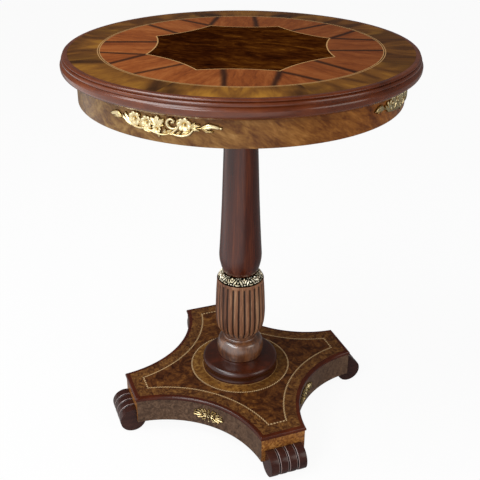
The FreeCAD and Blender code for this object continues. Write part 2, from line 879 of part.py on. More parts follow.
def edge_mouldings():
    """Rounded mouldings round the plinth's upper edge, mitred where a hollow side meets an end."""
    spread = size("mitre_spread")
    apex = size("corner_reach") - size("corner_half_width") * cosine(spread) / sine(spread)
    reach = size("corner_reach") + size("moulding_width")
    half = (reach - apex) * sine(spread) / cosine(spread)
    wedge = flat_sketch("mitre_sketch", board_ledge - size("cut_overrun"))
    for quarter in range(4):
        points = [(apex, as_size(0)), (reach, -half), (reach, half)]
        polygon(wedge, [corner_point(u, v, quarter) for u, v in points])
    mitres = extrusion("mitre_wedges", wedge, size("moulding_depth") + size("cut_overrun") * 2)

    sides = []
    sweep = corner_angle(size("corner_reach"), size("corner_half_width")) - HALF_RIGHT_ANGLE
    for number, quarter in enumerate(QUARTERS):
        angle = number * QUARTER_TURN
        section = upright_sketch("side_moulding_section_" + quarter, angle)
        moulding_section(section, size("side_reach"))
        swing = doc.addObject("Part::Revolution", "side_moulding_length_" + quarter)
        swing.Source = section
        swing.Axis = FreeCAD.Vector(0, 0, 1)
        bind(swing, "Base.x", side_centre * cosine(angle))
        bind(swing, "Base.y", side_centre * sine(angle))
        bind(swing, "Angle", sweep * 2 + SIDE_MOULDING_SPARE_ANGLE)
        swing.Symmetric = True
        swing.Solid = True
        sides.append(swing)
    side_lengths = compound("side_moulding_lengths", sides)
    finish(boolean("Cut", "side_moulding_cut", side_lengths, mitres), "plinth_side_mouldings")

    ends = []
    for number, corner in enumerate(CORNERS):
        section = upright_sketch("end_moulding_section_" + corner, HALF_RIGHT_ANGLE + number * QUARTER_TURN)
        moulding_section(section, size("corner_reach"))
        strip = doc.addObject("Part::Extrusion", "end_moulding_length_" + corner)
        strip.Base = section
        strip.DirMode = "Normal"
        strip.Solid = True
        strip.Symmetric = True
        bind(strip, "LengthFwd", size("corner_half_width") * 2)
        ends.append(strip)
    end_lengths = compound("end_moulding_lengths", ends)
    finish(boolean("Common", "end_moulding_cut", end_lengths, mitres), "plinth_end_mouldings")


def moulding_section(sketch, reach):
    width, depth = size("moulding_width"), size("moulding_depth")
    chain = Outline(sketch, reach - width, board_ledge)
    for across, down in reversed(MOULDING_SHARES):
        chain.line(reach - width * across, plinth_top - depth * down)
    chain.line(reach - width, plinth_top).close()


def scroll_foot(label, turn):
    """Ribbed roll set round the plinth's corner: half of it outside the end face, a lobe below."""
    radius, half_width = size("foot_radius"), size("foot_half_width")
    floor, half_groove = radius - size("foot_groove_depth"), size("foot_groove_width") / 2
    rib = half_width * 2 / FOOT_RIB_COUNT
    axis_height = radius - size("foot_tread")
    body = doc.addObject("PartDesign::Body", label + "_body")
    body.Label = label
    body.Placement = FreeCAD.Placement(FreeCAD.Vector(), FreeCAD.Rotation(FreeCAD.Vector(0, 0, 1), turn))
    section = body_sketch(body, "section", "XY_Plane", (size("foot_reach"), 0, axis_height))
    chain = Outline(section, 0, -half_width)
    chain.line(radius, -half_width)
    for number in range(1, FOOT_RIB_COUNT):
        groove = rib * number - half_width
        chain.line(radius, groove - half_groove).line(floor, groove).line(radius, groove + half_groove)
    chain.line(radius, half_width).line(0, half_width).close()
    revolve(body, section)

    rebate = body_sketch(body, "rebate", "XZ_Plane")
    inside = size("foot_reach") - radius - size("cut_overrun")
    end_face = size("corner_reach") - carcass_inset
    rectangle(rebate, inside, size("plinth_clearance"), end_face, axis_height + radius * 2)
    through_pocket(body, rebate, half_width, "rebate_pocket")
    tread = body_sketch(body, "tread", "XZ_Plane")
    outside = size("foot_reach") + radius + size("cut_overrun")
    rectangle(tread, inside, -radius, outside, 0)
    through_pocket(body, tread, half_width, "tread_pocket")
    return body


def through_pocket(body, sketch, half_width, name):
    """Cut both ways from the middle of a piece."""
    doc.recompute()
    before = body.Shape.Volume
    cut = body_feature(body, "Pocket", sketch, name)
    bind(cut, "Length", half_width * 2 + size("cut_overrun") * 2)
    cut.Midplane = True
    doc.recompute()
    if body.Shape.Volume >= before:
        raise RuntimeError("nothing was cut by " + cut.Name)


# Gilt mounts, cast in one piece each: small flat plates, each laid square to the curved wood behind it


class Wall:
    """An upright round surface that a mount is laid on, as its centre on the X axis and its radius."""

    def __init__(self, centre, radius, is_hollow):
        self.centre = centre
        self.radius = radius
        self.is_hollow = is_hollow

    def plate(self, points, relief):
        """A plate from points along the wall and up it, laid on the wall at the plate's own middle."""
        low, high = min(s for s, _ in points), max(s for s, _ in points)
        middle, half = (low + high) / 2, (high - low) / 2
        back = self.radius
        if self.is_hollow:
            back = -math.sqrt(self.radius**2 - half**2)
        corners = [FreeCAD.Vector(self.centre + back, s - middle, z) for s, z in points]
        solid = flat_panel(corners).extrude(FreeCAD.Vector(relief, 0, 0))
        turn = math.degrees(middle / self.radius) * (-1 if self.is_hollow else 1)
        solid.rotate(FreeCAD.Vector(self.centre, 0, 0), FreeCAD.Vector(0, 0, 1), turn)
        return solid


def leaf_points(s, z, length, width, angle):
    """A pointed leaf from (s, z) outwards along an angle in degrees."""
    along = (math.cos(math.radians(angle)), math.sin(math.radians(angle)))

    def at(share, side):
        return (
            s + along[0] * length * share - along[1] * width * side,
            z + along[1] * length * share + along[0] * width * side,
        )

    return [(s, z), at(LEAF_SHOULDER_SHARE, 0.5), at(1.0, 0.0), at(LEAF_SHOULDER_SHARE, -0.5)]


def flower_points(s, z, radius):
    step = 2 * math.pi / PETAL_COUNT
    return [
        (s + radius * math.cos(step * number), z + radius * math.sin(step * number))
        for number in range(PETAL_COUNT)
    ]


def stem_points(start, end, width):
    """One straight stretch of stem, half its width longer at each end so that stretches join."""
    run, rise = end[0] - start[0], end[1] - start[1]
    scale = width / 2 / math.hypot(run, rise)
    run, rise = run * scale, rise * scale
    return [
        (start[0] - run - rise, start[1] - rise + run),
        (end[0] + run - rise, end[1] + rise + run),
        (end[0] + run + rise, end[1] + rise - run),
        (start[0] - run + rise, start[1] - rise - run),
    ]


def casting(shares, wall, half_length, height, level, relief):
    """One mount, from its table of shares, as plates joined in one."""
    plates = []
    for kind, *rest in shares:
        if kind == "stem":
            width, middle = rest
            line = [(s * half_length, level + z * height) for s, z in middle]
            for start, end in zip(line, line[1:]):
                plates.append(wall.plate(stem_points(start, end, width * height), relief))
        elif kind == "leaf":
            s, z, length, width, angle = rest
            points = leaf_points(
                s * half_length, level + z * height, length * half_length, width * height, angle
            )
            plates.append(wall.plate(points, relief))
        else:
            s, z, radius = rest
            points = flower_points(s * half_length, level + z * height, radius * height)
            plates.append(wall.plate(points, relief))
    shape = plates[0].multiFuse(plates[1:]).removeSplitter()
    if len(shape.Solids) != 1:
        raise RuntimeError("a mount is in %d pieces" % len(shape.Solids))
    return shape


def set_of_mounts(label, shape):
    for number, quarter in enumerate(QUARTERS):
        item = doc.addObject("Part::Feature", "%s_%s_casting" % (label, quarter))
        item.Shape = shape.copy()
        turn = FreeCAD.Rotation(FreeCAD.Vector(0, 0, 1), number * QUARTER_TURN)
        item.Placement = FreeCAD.Placement(FreeCAD.Vector(), turn)
        finish(item, "%s_%s" % (label, quarter))


def apron_mounts():
    """Flower and leaf swags on the apron, at the middle of each quarter."""
    wall = Wall(0.0, (size("apron_radius") + size("glue_gap")).number, False)
    half_length, height = size("apron_mount_half_length").number, size("apron_mount_height").number
    level = (top_underside - size("apron_depth") / 2).number
    relief = size("apron_mount_relief").number
    set_of_mounts("apron_mount", casting(APRON_MOUNT_SHARES, wall, half_length, height, level, relief))


def plinth_mounts():
    """Fans of leaves on the plinth's hollow sides."""
    wall = Wall(side_centre.number, (side_radius + carcass_inset - size("glue_gap")).number, True)
    half_length, height = size("plinth_mount_half_length").number, size("plinth_mount_height").number
    level = ((board_ledge + size("plinth_clearance")) / 2).number
    relief = size("plinth_mount_relief").number
    set_of_mounts("plinth_mount", casting(PLINTH_MOUNT_SHARES, wall, half_length, height, level, relief))


top_core()
top_lipping()
top_veneers()
apron()
apron_glue_blocks()
bearer("cross_bearer_lower", 0.0, False)
bearer("cross_bearer_upper", QUARTER_TURN, True)
turning(
    "upper_shaft", size("shaft_radius"), vase_top, bearer_underside - vase_top, SHAFT_SHARES, rod_bore
)
column_collar()
reeded_vase()
turning("column_bun", size("bun_radius"), disc_top, size("bun_height"), BUN_SHARES, rod_bore)
turning("base_disc", size("disc_radius"), plinth_top, size("disc_height"), DISC_SHARES, rod_bore)
tie_rod()
plinth_board()
rod_block()
for number, quarter in enumerate(QUARTERS):
    rail("plinth_rail_" + quarter, number * QUARTER_TURN)
for number, corner in enumerate(CORNERS):
    corner_block("corner_block_" + corner, HALF_RIGHT_ANGLE + number * QUARTER_TURN)
plinth_top_veneers()
edge_mouldings()
feet = [
    scroll_foot("scroll_foot_" + corner, HALF_RIGHT_ANGLE + number * QUARTER_TURN)
    for number, corner in enumerate(CORNERS)
]
finish(compound("scroll_foot_set", feet), "scroll_feet")
apron_mounts()
plinth_mounts()

doc.recompute()
for item in doc.Objects:
    if "Invalid" in item.State or "Error" in item.State:
        raise RuntimeError("%s failed: %s" % (item.Name, item.State))
os.makedirs("parts", exist_ok=True)
for label, item in nodes.items():
    if item.Shape.isNull() or not item.Shape.isValid():
        raise RuntimeError(label + " has no valid shape")
    item.Shape.exportStep("parts/%s.step" % label)
    print("%-28s solids %2d  volume %10.0f" % (label, len(item.Shape.Solids), item.Shape.Volume))
print("nodes", len(nodes))
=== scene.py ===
"""Looks for a round occasional table: marquetry top, gilt mounts, reeded column, hollow-sided plinth.

Lengths in the tables below are millimetres, and MM turns them into Blender's metres. Each new piece
stands for the CAD nodes named beside it. The flat veneers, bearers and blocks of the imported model
stay as they are, with finishes of their own.
"""

import math

import bmesh
import bpy
from mathutils import Matrix, Vector
from mathutils.geometry import interpolate_bezier


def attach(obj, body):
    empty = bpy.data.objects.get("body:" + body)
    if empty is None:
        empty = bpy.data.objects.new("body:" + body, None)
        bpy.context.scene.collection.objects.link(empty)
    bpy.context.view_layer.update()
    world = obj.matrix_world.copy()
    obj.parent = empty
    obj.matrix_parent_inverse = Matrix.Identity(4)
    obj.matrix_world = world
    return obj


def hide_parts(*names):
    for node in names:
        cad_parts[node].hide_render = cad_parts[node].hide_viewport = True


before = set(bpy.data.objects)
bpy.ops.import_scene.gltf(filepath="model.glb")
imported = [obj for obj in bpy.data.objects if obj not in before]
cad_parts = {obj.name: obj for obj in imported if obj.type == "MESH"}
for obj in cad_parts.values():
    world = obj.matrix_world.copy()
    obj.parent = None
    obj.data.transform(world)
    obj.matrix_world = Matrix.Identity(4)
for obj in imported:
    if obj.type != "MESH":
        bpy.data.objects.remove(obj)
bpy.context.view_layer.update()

MM = 0.001
WELD, FINE_WELD = 0.01 * MM, 0.001 * MM
ROUNDED = {"segments": 6, "profile": 0.5, "material": -1}
UPRIGHT = (0, 0, 1)
QUARTER = math.pi / 2
DIAGONAL = math.pi / 4
QUARTERS = ("right", "back", "left", "front")
CORNERS = ("back_right", "back_left", "front_left", "front_right")

# The photograph's viewpoint, in metres and degrees
CAMERA_PLACE = (0.5473, -1.2042, 1.0502)
CAMERA_TURN, CAMERA_TILT, CAMERA_ROLL = 24.49, 62.53, 0.26
CAMERA_LENS, CAMERA_SENSOR = 59.34, 36.0

# The studio: its bright side as a direction from the table, the world's level as plain light and in
# dark reflections, and the floor's in reflections away from the bright side
BRIGHT_SIDE, BRIGHT_EDGES = (-0.45, -0.85, 0.2), (0.25, 0.9)
WORLD_LIGHT, WORLD_DARK = 0.36, 0.1
FLOOR_REACH, FLOOR_GLOW, FLOOR_DARK, FLOOR_EDGES = 6.0, 0.93, 0.18, (0.1, 0.6)
LIGHTS_AIM = (0, 0, 0.4)
LIGHTS = [
    ("key_light", (-1.0, -0.9, 2.5), 1.4, 34.0, (0.98, 0.99, 1.0)),
    ("front_light", (-0.25, -1.65, 1.25), 0.8, 12.0, (0.94, 0.97, 1.0)),
    ("fill_light", (1.9, -0.3, 1.1), 1.2, 9.0, (1.0, 0.95, 0.88)),
]

# The top's marquetry: the star, the fan of leaves round it and the ring beyond them
STAR_REACH, STAR_HOLLOW = 165.0, 9.0
STAR_MIDDLE = STAR_REACH * math.cos(DIAGONAL / 2) - STAR_HOLLOW
STAR_SWEEP = ((STAR_REACH * math.sin(DIAGONAL / 2)) ** 2 + STAR_HOLLOW**2) / (2 * STAR_HOLLOW)
AXIS_LEAF_APEX, AXIS_LEAF_SPREAD = 71.0, math.radians(26.0)
CORNER_LEAF_APEX, CORNER_LEAF_SPREAD = 165.0, math.radians(29.5)
INNER_STRING, OUTER_STRING, STRING_HALF = 234.7, 237.9, 0.65
STAR_STRING = 2.1

# The plinth's plan: how far its corners and its hollow sides stand from the column's axis
CORNER_REACH, CORNER_HALF_WIDTH, SIDE_REACH = 229.0, 44.7, 144.5
SIDE_END = (CORNER_REACH - CORNER_HALF_WIDTH) * math.sin(DIAGONAL)
SIDE_END_REACH = (CORNER_REACH + CORNER_HALF_WIDTH) * math.sin(DIAGONAL)
SIDE_RISE = SIDE_END_REACH - SIDE_REACH
SIDE_RADIUS = (SIDE_END**2 + SIDE_RISE**2) / (2 * SIDE_RISE)
SIDE_CENTRE, SIDE_STEPS = SIDE_REACH + SIDE_RADIUS, 48
MOULDING_WIDTH, MOULDING_CREST, MOULDING_LIP = 8.0, 4.4, 2.2
CARCASS_INSET, RAIL_THICKNESS = 2.0, 20.0
ROPE_INSET, ROPE_RING, ROPE_HALF, ROPE_TWIST = 30.7, 98.3, 1.35, 4.6
RING_STRING, RING_STRING_HALF, RING_LENGTHS, RING_START = 76.0, 0.45, 9, 0.37
PLINTH_FOOT, PLINTH_LEDGE, PLINTH_TOP = 24.0, 73.0, 81.0

# Turned outlines from below: radius, height and how far each corner is rounded
RIM_OUTLINE = [
    (286.6, 697.5, 0),
    (291.5, 697.5, 0.8),
    (299.3, 703.5, 3.0),
    (300.0, 713.0, 2.4),
    (295.6, 716.4, 0),
    (297.6, 719.4, 1.9),
    (296.2, 722.5, 0.6),
    (293.4, 723.1, 0),
    (295.4, 725.6, 1.3),
    (292.6, 728.0, 1.0),
    (286.6, 728.0, 0),
]
APRON_OUTLINE = [(256.6, 650.0, 0), (275.6, 650.0, 0.8), (275.6, 697.5, 0), (256.6, 697.5, 0)]
SHAFT_OUTLINE = [
    (6.6, 284.0, 0),
    (30.0, 284.0, 0),
    (30.0, 299.6, 0),
    (33.6, 299.7, 0.9),
    (37.2, 311.0, 6),
    (41.0, 329.0, 9),
    (37.9, 379.0, 20),
    (32.4, 498.0, 50),
    (28.5, 650.0, 0),
    (6.6, 650.0, 0),
]
VASE_OUTLINE = [
    (6.6, 160.4, 0),
    (31.6, 160.4, 0),
    (45.6, 174.0, 9),
    (49.3, 200.0, 16),
    (47.0, 260.0, 20),
    (45.4, 279.0, 0),
    (45.4, 284.0, 1.4),
    (6.6, 284.0, 0),
]
BUN_OUTLINE = [
    (6.6, 110.0, 0),
    (42.6, 110.0, 2),
    (46.5, 119.0, 8),
    (46.5, 137.0, 9),
    (40.5, 148.0, 5),
    (33.4, 150.5, 0),
    (33.4, 154.0, 1.6),
    (30.3, 155.0, 0),
    (30.3, 160.4, 0),
    (6.6, 160.4, 0),
]
DISC_OUTLINE = [
    (6.6, 81.0, 0),
    (75.0, 81.0, 0.3),
    (75.0, 83.4, 1.2),
    (72.8, 88.6, 3.0),
    (73.4, 93.6, 2.0),
    (75.2, 95.2, 1.2),
    (75.2, 105.2, 7.8),
    (60.0, 107.2, 7),
    (47.0, 108.4, 3),
    (43.0, 110.0, 0),
    (6.6, 110.0, 0),
]
TURNING_STEPS, TOP_STEPS, BORE_CLEAR = 160, 256, 20.0
REED_COUNT, REED_DEPTH, REED_SHARPNESS, REED_WANDER = 26, 2.9, 2.2, 0.03
REED_FOOT, REED_HEAD, REED_FOOT_FADE, REED_HEAD_FADE = 160.4, 279.0, 16.0, 3.0
REED_STEPS, REED_SPACING = 12, 2.6
FOOT_RADIUS, FOOT_REACH, FOOT_HALF_WIDTH, FOOT_RIBS = 25.3, 234.5, 35.0, 4
FOOT_GROOVE_DEPTH, FOOT_GROOVE_WIDTH, FOOT_RIB_CROWN = 2.4, 3.4, 0.4
# The last is how deep into a groove the hollow share takes to reach one, which paints the groove's shade
# and edge highlight
FOOT_CHEEK_ROUND, FOOT_RIB_ROUND, FOOT_EDGE_ROUND, FOOT_HOLLOW_DEPTH = 1.2, 5.0, 1.1, 1.2
FOOT_AXIS, FOOT_STEPS = 24.9, 64

# The gilt mounts, laid out flat as (kind, spine, width, relief). A spine is points of (along, up)
# from the mount's middle, in millimetres; a flower or a bead has one point.
APRON_LEVEL, APRON_FACE = 673.0, 275.6
APRON_MOUNT = [
    ("leaf", [(-71, 4), (-82, 7), (-95, 4)], 8.0, 3.6),
    ("leaf", [(-72, 3), (-81, 2.6), (-89, 0.5)], 4.4, 2.6),
    ("leaf", [(-72, 5), (-79, 9.6), (-88, 9.6)], 4.4, 2.8),
    ("stem", [(-76, 4), (-68, 3.4), (-60, 0.5), (-52, -3)], 2.6, 2.2),
    ("leaf", [(-50, -3), (-59, 1), (-68, 9)], 5.6, 4.0),
    ("leaf", [(-50, 0), (-57, 6), (-62, 13.5)], 5.6, 4.4),
    ("leaf", [(-47, -2), (-54, -3.4), (-61, -1)], 4.4, 3.0),
    ("flower", [(-44, 7)], 10.6, 4.9),
    ("leaf", [(-36, -3), (-33, 3), (-33, 9)], 4.8, 3.4),
    ("flower", [(-23, 5.6)], 9.2, 4.8),
    ("leaf", [(-17, 2), (-19, 9), (-24, 15)], 4.6, 3.8),
    ("stem", [(-62, 1), (-50, -4), (-38, -6), (-26, -5), (-15, -7), (-4, -9.6), (6, -9.6), (14, -7)],
     3.4, 3.2),
    ("leaf", [(-30, -5), (-24, -7.6), (-15, -9.4)], 4.2, 3.0),
    ("leaf", [(-5, 5), (-5, 12), (-4, 18.4)], 10.0, 4.9),
    ("leaf", [(-5, 5), (-10, 9), (-15, 14.6)], 8.8, 4.8),
    ("leaf", [(-5, 5), (1, 9), (6, 14.6)], 8.8, 4.8),
    ("leaf", [(-5, 3), (-11, 4), (-17, 3)], 5.4, 4.2),
    ("leaf", [(-5, 3), (1, 3.6), (6.4, 5)], 5.0, 4.2),
    ("bead", [(-5, 7)], 2.4, 4.9),
    ("flower", [(-6, -2.4)], 7.0, 4.9),
    ("leaf", [(-4, -7), (-3.4, -10), (-2.6, -13.6)], 5.4, 3.4),
    ("bead", [(-2.6, -13)], 1.5, 2.8),
    ("leaf", [(-50, -2), (-44, -3), (-37, -1)], 4.6, 3.4),
    ("leaf", [(-36, -4), (-29, -1), (-24, -3)], 4.4, 3.6),
    ("leaf", [(-28, -2), (-21, -3), (-13, -1)], 4.6, 3.8),
    ("leaf", [(-18, -6), (-11, -7), (-6, -10)], 4.4, 3.4),
    ("leaf", [(4, -8), (7, -4), (6, 1)], 5.0, 3.8),
    ("leaf", [(9, -8), (14, -3), (18, -1)], 4.6, 3.6),
    ("leaf", [(22, -5), (17, -7), (9, -6)], 4.0, 3.2),
    ("leaf", [(33, -6), (38, -3), (44, -1)], 4.8, 3.6),
    ("leaf", [(-42, 14), (-38, 15), (-33, 12)], 4.2, 3.4),
    ("stem", [(14, -7), (20, -3), (26, 2), (28, 8)], 3.6, 3.4),
    ("stem", [(26, 4), (20, 1.4), (14, 3.4), (11, 8.4), (13, 13.6), (18, 15.6), (21.6, 13), (20, 10)],
     4.6, 4.8),
    ("bead", [(18.6, 10.4)], 2.0, 4.4),
    ("stem", [(16, -6), (24, -8), (34, -8), (43, -5), (49, 1), (51, 5)], 3.6, 3.4),
    ("leaf", [(24, -7), (29, -4), (31, 0)], 4.2, 3.4),
    ("flower", [(37, 9)], 10.6, 4.9),
    ("leaf", [(31, 5), (27, 11), (28, 17)], 4.6, 4.0),
    ("leaf", [(45, 3), (42, -1), (37, -2.4)], 4.0, 3.6),
    ("leaf", [(48, 4), (50, 9.6), (53, 14)], 6.2, 4.4),
    ("leaf", [(48, 5), (55, 9), (61, 9.4)], 5.8, 4.2),
    ("leaf", [(48, 4), (54, 3.6), (60, 1.4)], 5.4, 4.0),
    ("bead", [(50, 5.4)], 2.0, 4.6),
    ("stem", [(55, 5), (61, 5.4), (67, 6)], 2.4, 2.2),
    ("leaf", [(63, 6), (76, 9.4), (92, 6.4)], 7.4, 3.8),
    ("leaf", [(64, 4.6), (71, 1.6), (80, 2)], 4.4, 2.8),
    ("leaf", [(65, 7), (72, 11), (80, 11.6)], 3.8, 2.6),
    ("bead", [(89.6, 7)], 2.6, 3.4),
]
PLINTH_MOUNT_LEVEL = 50.0
PLINTH_MOUNT_CORE = [
    ("stem", [(0, 3.0), (-3.0, 0), (0, -3.0), (3.0, 0), (0, 3.0)], 1.6, 3.9),
    ("leaf", [(0, 5), (0, 10), (0, 16.4)], 3.6, 3.8),
    ("bead", [(0, -13.6)], 2.0, 3.2),
    ("leaf", [(0, -5), (0, -8), (0, -11)], 2.6, 3.2),
]
PLINTH_MOUNT_SIDE = [
    ("leaf", [(4.4, 1.8), (8, 2.8), (12.4, 1.4)], 2.6, 3.6),
    ("leaf", [(4.4, -1.8), (8, -2.6), (12.4, -1.2)], 2.6, 3.5),
    ("leaf", [(4.6, 5.6), (7.4, 10), (9.6, 15.6)], 3.0, 3.7),
    ("leaf", [(8.8, 5), (13, 9), (16.8, 13.8)], 3.0, 3.6),
    ("leaf", [(13.4, 4), (18.6, 7), (24.4, 10)], 2.9, 3.4),
    ("leaf", [(14.6, 0.6), (22, 1.8), (31, 5)], 2.9, 3.3),
    ("leaf", [(14.6, -2.4), (23, -3), (33, -2)], 2.8, 3.2),
    ("leaf", [(10, -4.8), (16, -7), (25.4, -8)], 2.8, 3.1),
    ("leaf", [(4.8, -6.2), (9.4, -9.8), (16.6, -12.4)], 2.8, 3.0),
    ("bead", [(12.4, 12.6)], 1.1, 2.8),
    ("bead", [(20.2, 10.6)], 1.1, 2.8),
    ("bead", [(27.8, 7.4)], 1.1, 2.6),
    ("bead", [(29.2, 1.2)], 1.1, 2.6),
    ("bead", [(29.6, -5.2)], 1.0, 2.6),
    ("bead", [(20.6, -10.6)], 1.1, 2.8),
    ("bead", [(8.2, -13.4)], 1.2, 2.8),
]

# The collar: a cone of leaves and beads, from its foot round to its head
COLLAR_FOOT, COLLAR_HEAD = (42.9, 285.2), (33.6, 298.6)
# The cone under the openwork, finished near-black as painted shade for the gaps between the leaves
COLLAR_CONE = [
    (30.2, 284.1, 0),
    (44.2, 284.1, 0),
    (44.2, 284.9, 0.3),
    (42.2, 285.3, 0),
    (33.0, 298.8, 0.6),
    (30.2, 298.8, 0),
]
COLLAR_REPEATS, COLLAR_STEPS = 10, 132
COLLAR_UNIT = [
    ("leaf", [(0, 4.6), (0, 7.0), (0, 9.8)], 2.2, 1.8),
    ("leaf", [(-5.2, 2.6), (0, 1.4), (5.2, 2.6)], 2.3, 1.9),
    ("bead", [(0, 14.6)], 1.6, 1.7),
]
COLLAR_UNIT_SIDE = [
    ("leaf", [(8.6, 3.4), (5.6, 7.4), (1.8, 13.2)], 3.0, 2.1),
    ("leaf", [(12.6, 5.6), (10.4, 9.4), (7.0, 13.4)], 2.6, 1.9),
    ("bead", [(8.6, 1.7)], 1.5, 1.9),
    ("bead", [(4.6, 14.9)], 1.2, 1.6),
    ("leaf", [(13.1, 11.0), (12.3, 12.8), (13.0, 15.2)], 1.8, 1.7),
    ("bead", [(12.9, 2.3)], 1.6, 1.9),
]
# How a casting is made: strips across it, how far its back goes into the wall, lobes along a leaf
CASTING_STRIPS, CASTING_BACK, LEAF_LOBES, FLOWER_PETALS = 6, -0.4, 5.4, 7


# Meshes


def start_chain(mesh, outline):
    """A wire of corners in the XZ plane, with each corner rounded as far as its outline says."""
    corners = [mesh.verts.new((r * MM, 0, z * MM)) for r, z, _ in outline]
    for a, b in zip(corners, corners[1:]):
        mesh.edges.new((a, b))
    for corner, (_, _, rounding) in zip(corners, outline):
        if rounding:
            bmesh.ops.bevel(mesh, geom=[corner], offset=rounding * MM, affect="VERTICES", **ROUNDED)


def swing(mesh, axis, angle, steps, **more):
    """Sweep all of the mesh round an axis through the origin, or repeat it there."""
    everything = mesh.verts[:] + mesh.edges[:] + mesh.faces[:]
    bmesh.ops.spin(mesh, geom=everything, cent=(0, 0, 0), axis=axis, angle=angle, steps=steps, **more)


def weld(mesh, distance):
    bmesh.ops.remove_doubles(mesh, verts=mesh.verts, dist=distance)
    bmesh.ops.recalc_face_normals(mesh, faces=mesh.faces)


def turn_chain(mesh, steps):
    """Close the wire along the bore, turn it right round and leave one closed skin."""
    mesh.edges.new([v for v in mesh.verts if len(v.link_edges) == 1])
    swing(mesh, UPRIGHT, 2 * math.pi, steps, use_merge=True)
    weld(mesh, WELD)


def put(name, data):
    """A new object of the scene, which holds the data."""
    item = bpy.data.objects.new(name, data)
    bpy.context.scene.collection.objects.link(item)
    return item


def finish_piece(name, mesh, stands_for, slot, *finishes, smooth=40.0):
    """Make the mesh an object with its finishes, smooth between faces that meet at a low angle."""
    data = bpy.data.meshes.new(name)
    limit = math.radians(smooth)
    for edge in mesh.edges:
        edge.smooth = len(edge.link_faces) == 2 and edge.calc_face_angle(0.0) < limit
    for face in mesh.faces:
        face.smooth = True
    mesh.to_mesh(data)
    mesh.free()
    for finish in finishes:
        data.materials.append(finish)
    piece = put(name, data)
    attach(piece, "root")
    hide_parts(*stands_for)


def turned(name, outline, stands_for, slot, finish, steps=TURNING_STEPS):
    mesh = bmesh.new()
    start_chain(mesh, outline)
    turn_chain(mesh, steps)
    finish_piece(name, mesh, stands_for, slot, finish)


def reeded_vase(finish):
    """The vase's turning, with hand-cut reeds between the plain lip and the foot."""
    mesh = bmesh.new()
    start_chain(mesh, VASE_OUTLINE)
    side = [e for e in mesh.edges if min(v.co.x for v in e.verts) > BORE_CLEAR * MM]
    for edge in side:
        cuts = int(edge.calc_length() / (REED_SPACING * MM))
        if cuts and abs(edge.verts[0].co.z - edge.verts[1].co.z) > 1 * MM:
            bmesh.ops.subdivide_edges(mesh, edges=[edge], cuts=cuts)
    turn_chain(mesh, REED_COUNT * REED_STEPS)
    # How deep each point sits in a groove, which the finish turns into painted shade
    groove_depth = mesh.verts.layers.float.new("hollow")
    for vertex in mesh.verts:
        height, reach = vertex.co.z / MM, vertex.co.xy.length / MM
        if reach < BORE_CLEAR or height > REED_HEAD:
            continue
        turn = math.atan2(vertex.co.y, vertex.co.x)
        slow, quick = math.sin(5 * turn + height / 60), math.sin(11 * turn - height / 45)
        wander = REED_WANDER * slow + REED_WANDER * quick
        along = (turn / (2 * math.pi) * REED_COUNT + wander) % 1.0
        groove = abs(2 * along - 1) ** REED_SHARPNESS
        head_fade = min(1.0, (REED_HEAD - height) / REED_HEAD_FADE)
        foot_fade = min(1.0, 0.5 + (height - REED_FOOT) / REED_FOOT_FADE)
        vertex.co.xy *= 1 - REED_DEPTH * groove * head_fade * foot_fade / reach
        vertex[groove_depth] = groove * head_fade
    finish_piece("vase", mesh, ["reeded_vase"], "vase_wood", finish, smooth=80)


def plan_face(mesh, inset, height):
    """The plinth's plan as one face, drawn in from its edge by inset."""
    reach = CORNER_REACH - inset
    radius = SIDE_RADIUS + inset
    offset = SIDE_CENTRE * math.sin(DIAGONAL)
    half = offset - math.sqrt(radius**2 - (offset - reach) ** 2)
    start = Vector((reach + half, reach - half)) * math.sin(DIAGONAL)
    sweep = 2 * math.atan2(start.y, SIDE_CENTRE - start.x)
    ends = []
    for number in range(4):
        turn = Matrix.Rotation(number * QUARTER, 3, "Z")
        corner = mesh.verts.new(turn @ Vector((start.x, start.y, height)) * MM)
        centre = turn @ Vector((SIDE_CENTRE, 0, height)) * MM
        arc = bmesh.ops.spin(mesh, geom=[corner], cent=centre, axis=UPRIGHT, angle=sweep, steps=SIDE_STEPS)
        ends.append((corner, arc["geom_last"][0]))
    for number, (corner, _) in enumerate(ends):
        mesh.edges.new((corner, ends[number - 3][1]))
    return bmesh.ops.contextual_create(mesh, geom=mesh.edges[:])["faces"][0]


def hollow_wall(inset, thickness, foot, head):
    """A wall of the plinth's plan: its outer face inset from the edge, standing from foot to head."""
    mesh = bmesh.new()
    plan = plan_face(mesh, inset, foot)
    ring = bmesh.ops.inset_region(
        mesh, faces=[plan], thickness=thickness * MM, use_boundary=True, use_even_offset=True
    )
    bmesh.ops.delete(mesh, geom=[plan], context="FACES")
    raised = bmesh.ops.extrude_face_region(mesh, geom=ring["faces"])
    top = [item for item in raised["geom"] if isinstance(item, bmesh.types.BMVert)]
    bmesh.ops.translate(mesh, verts=top, vec=(0, 0, (head - foot) * MM))
    bmesh.ops.recalc_face_normals(mesh, faces=mesh.faces)
    return mesh


def faces_out(face):
    middle = face.calc_center_median()
    return abs(face.normal.z) < 0.5 and face.normal.dot(Vector((middle.x, middle.y, 0))) > 0


def plinth_wall(side_finish, end_finish, inner_finish):
    """Rails, corner blocks and their veneers as one hollow wall under the board."""
    mesh = hollow_wall(CARCASS_INSET, RAIL_THICKNESS, PLINTH_FOOT, PLINTH_LEDGE)
    end_reach = (CORNER_REACH - CARCASS_INSET - 0.5) / math.sin(DIAGONAL)
    for face in mesh.faces:
        middle = face.calc_center_median() / MM
        if not faces_out(face):
            face.material_index = 2
        elif abs(middle.x) + abs(middle.y) > end_reach:
            face.material_index = 1
    names = ["plinth_rail_" + q for q in QUARTERS] + ["corner_block_" + c for c in CORNERS]
    finish_piece("plinth_wall", mesh, names, "plinth_burl", side_finish, end_finish, inner_finish)


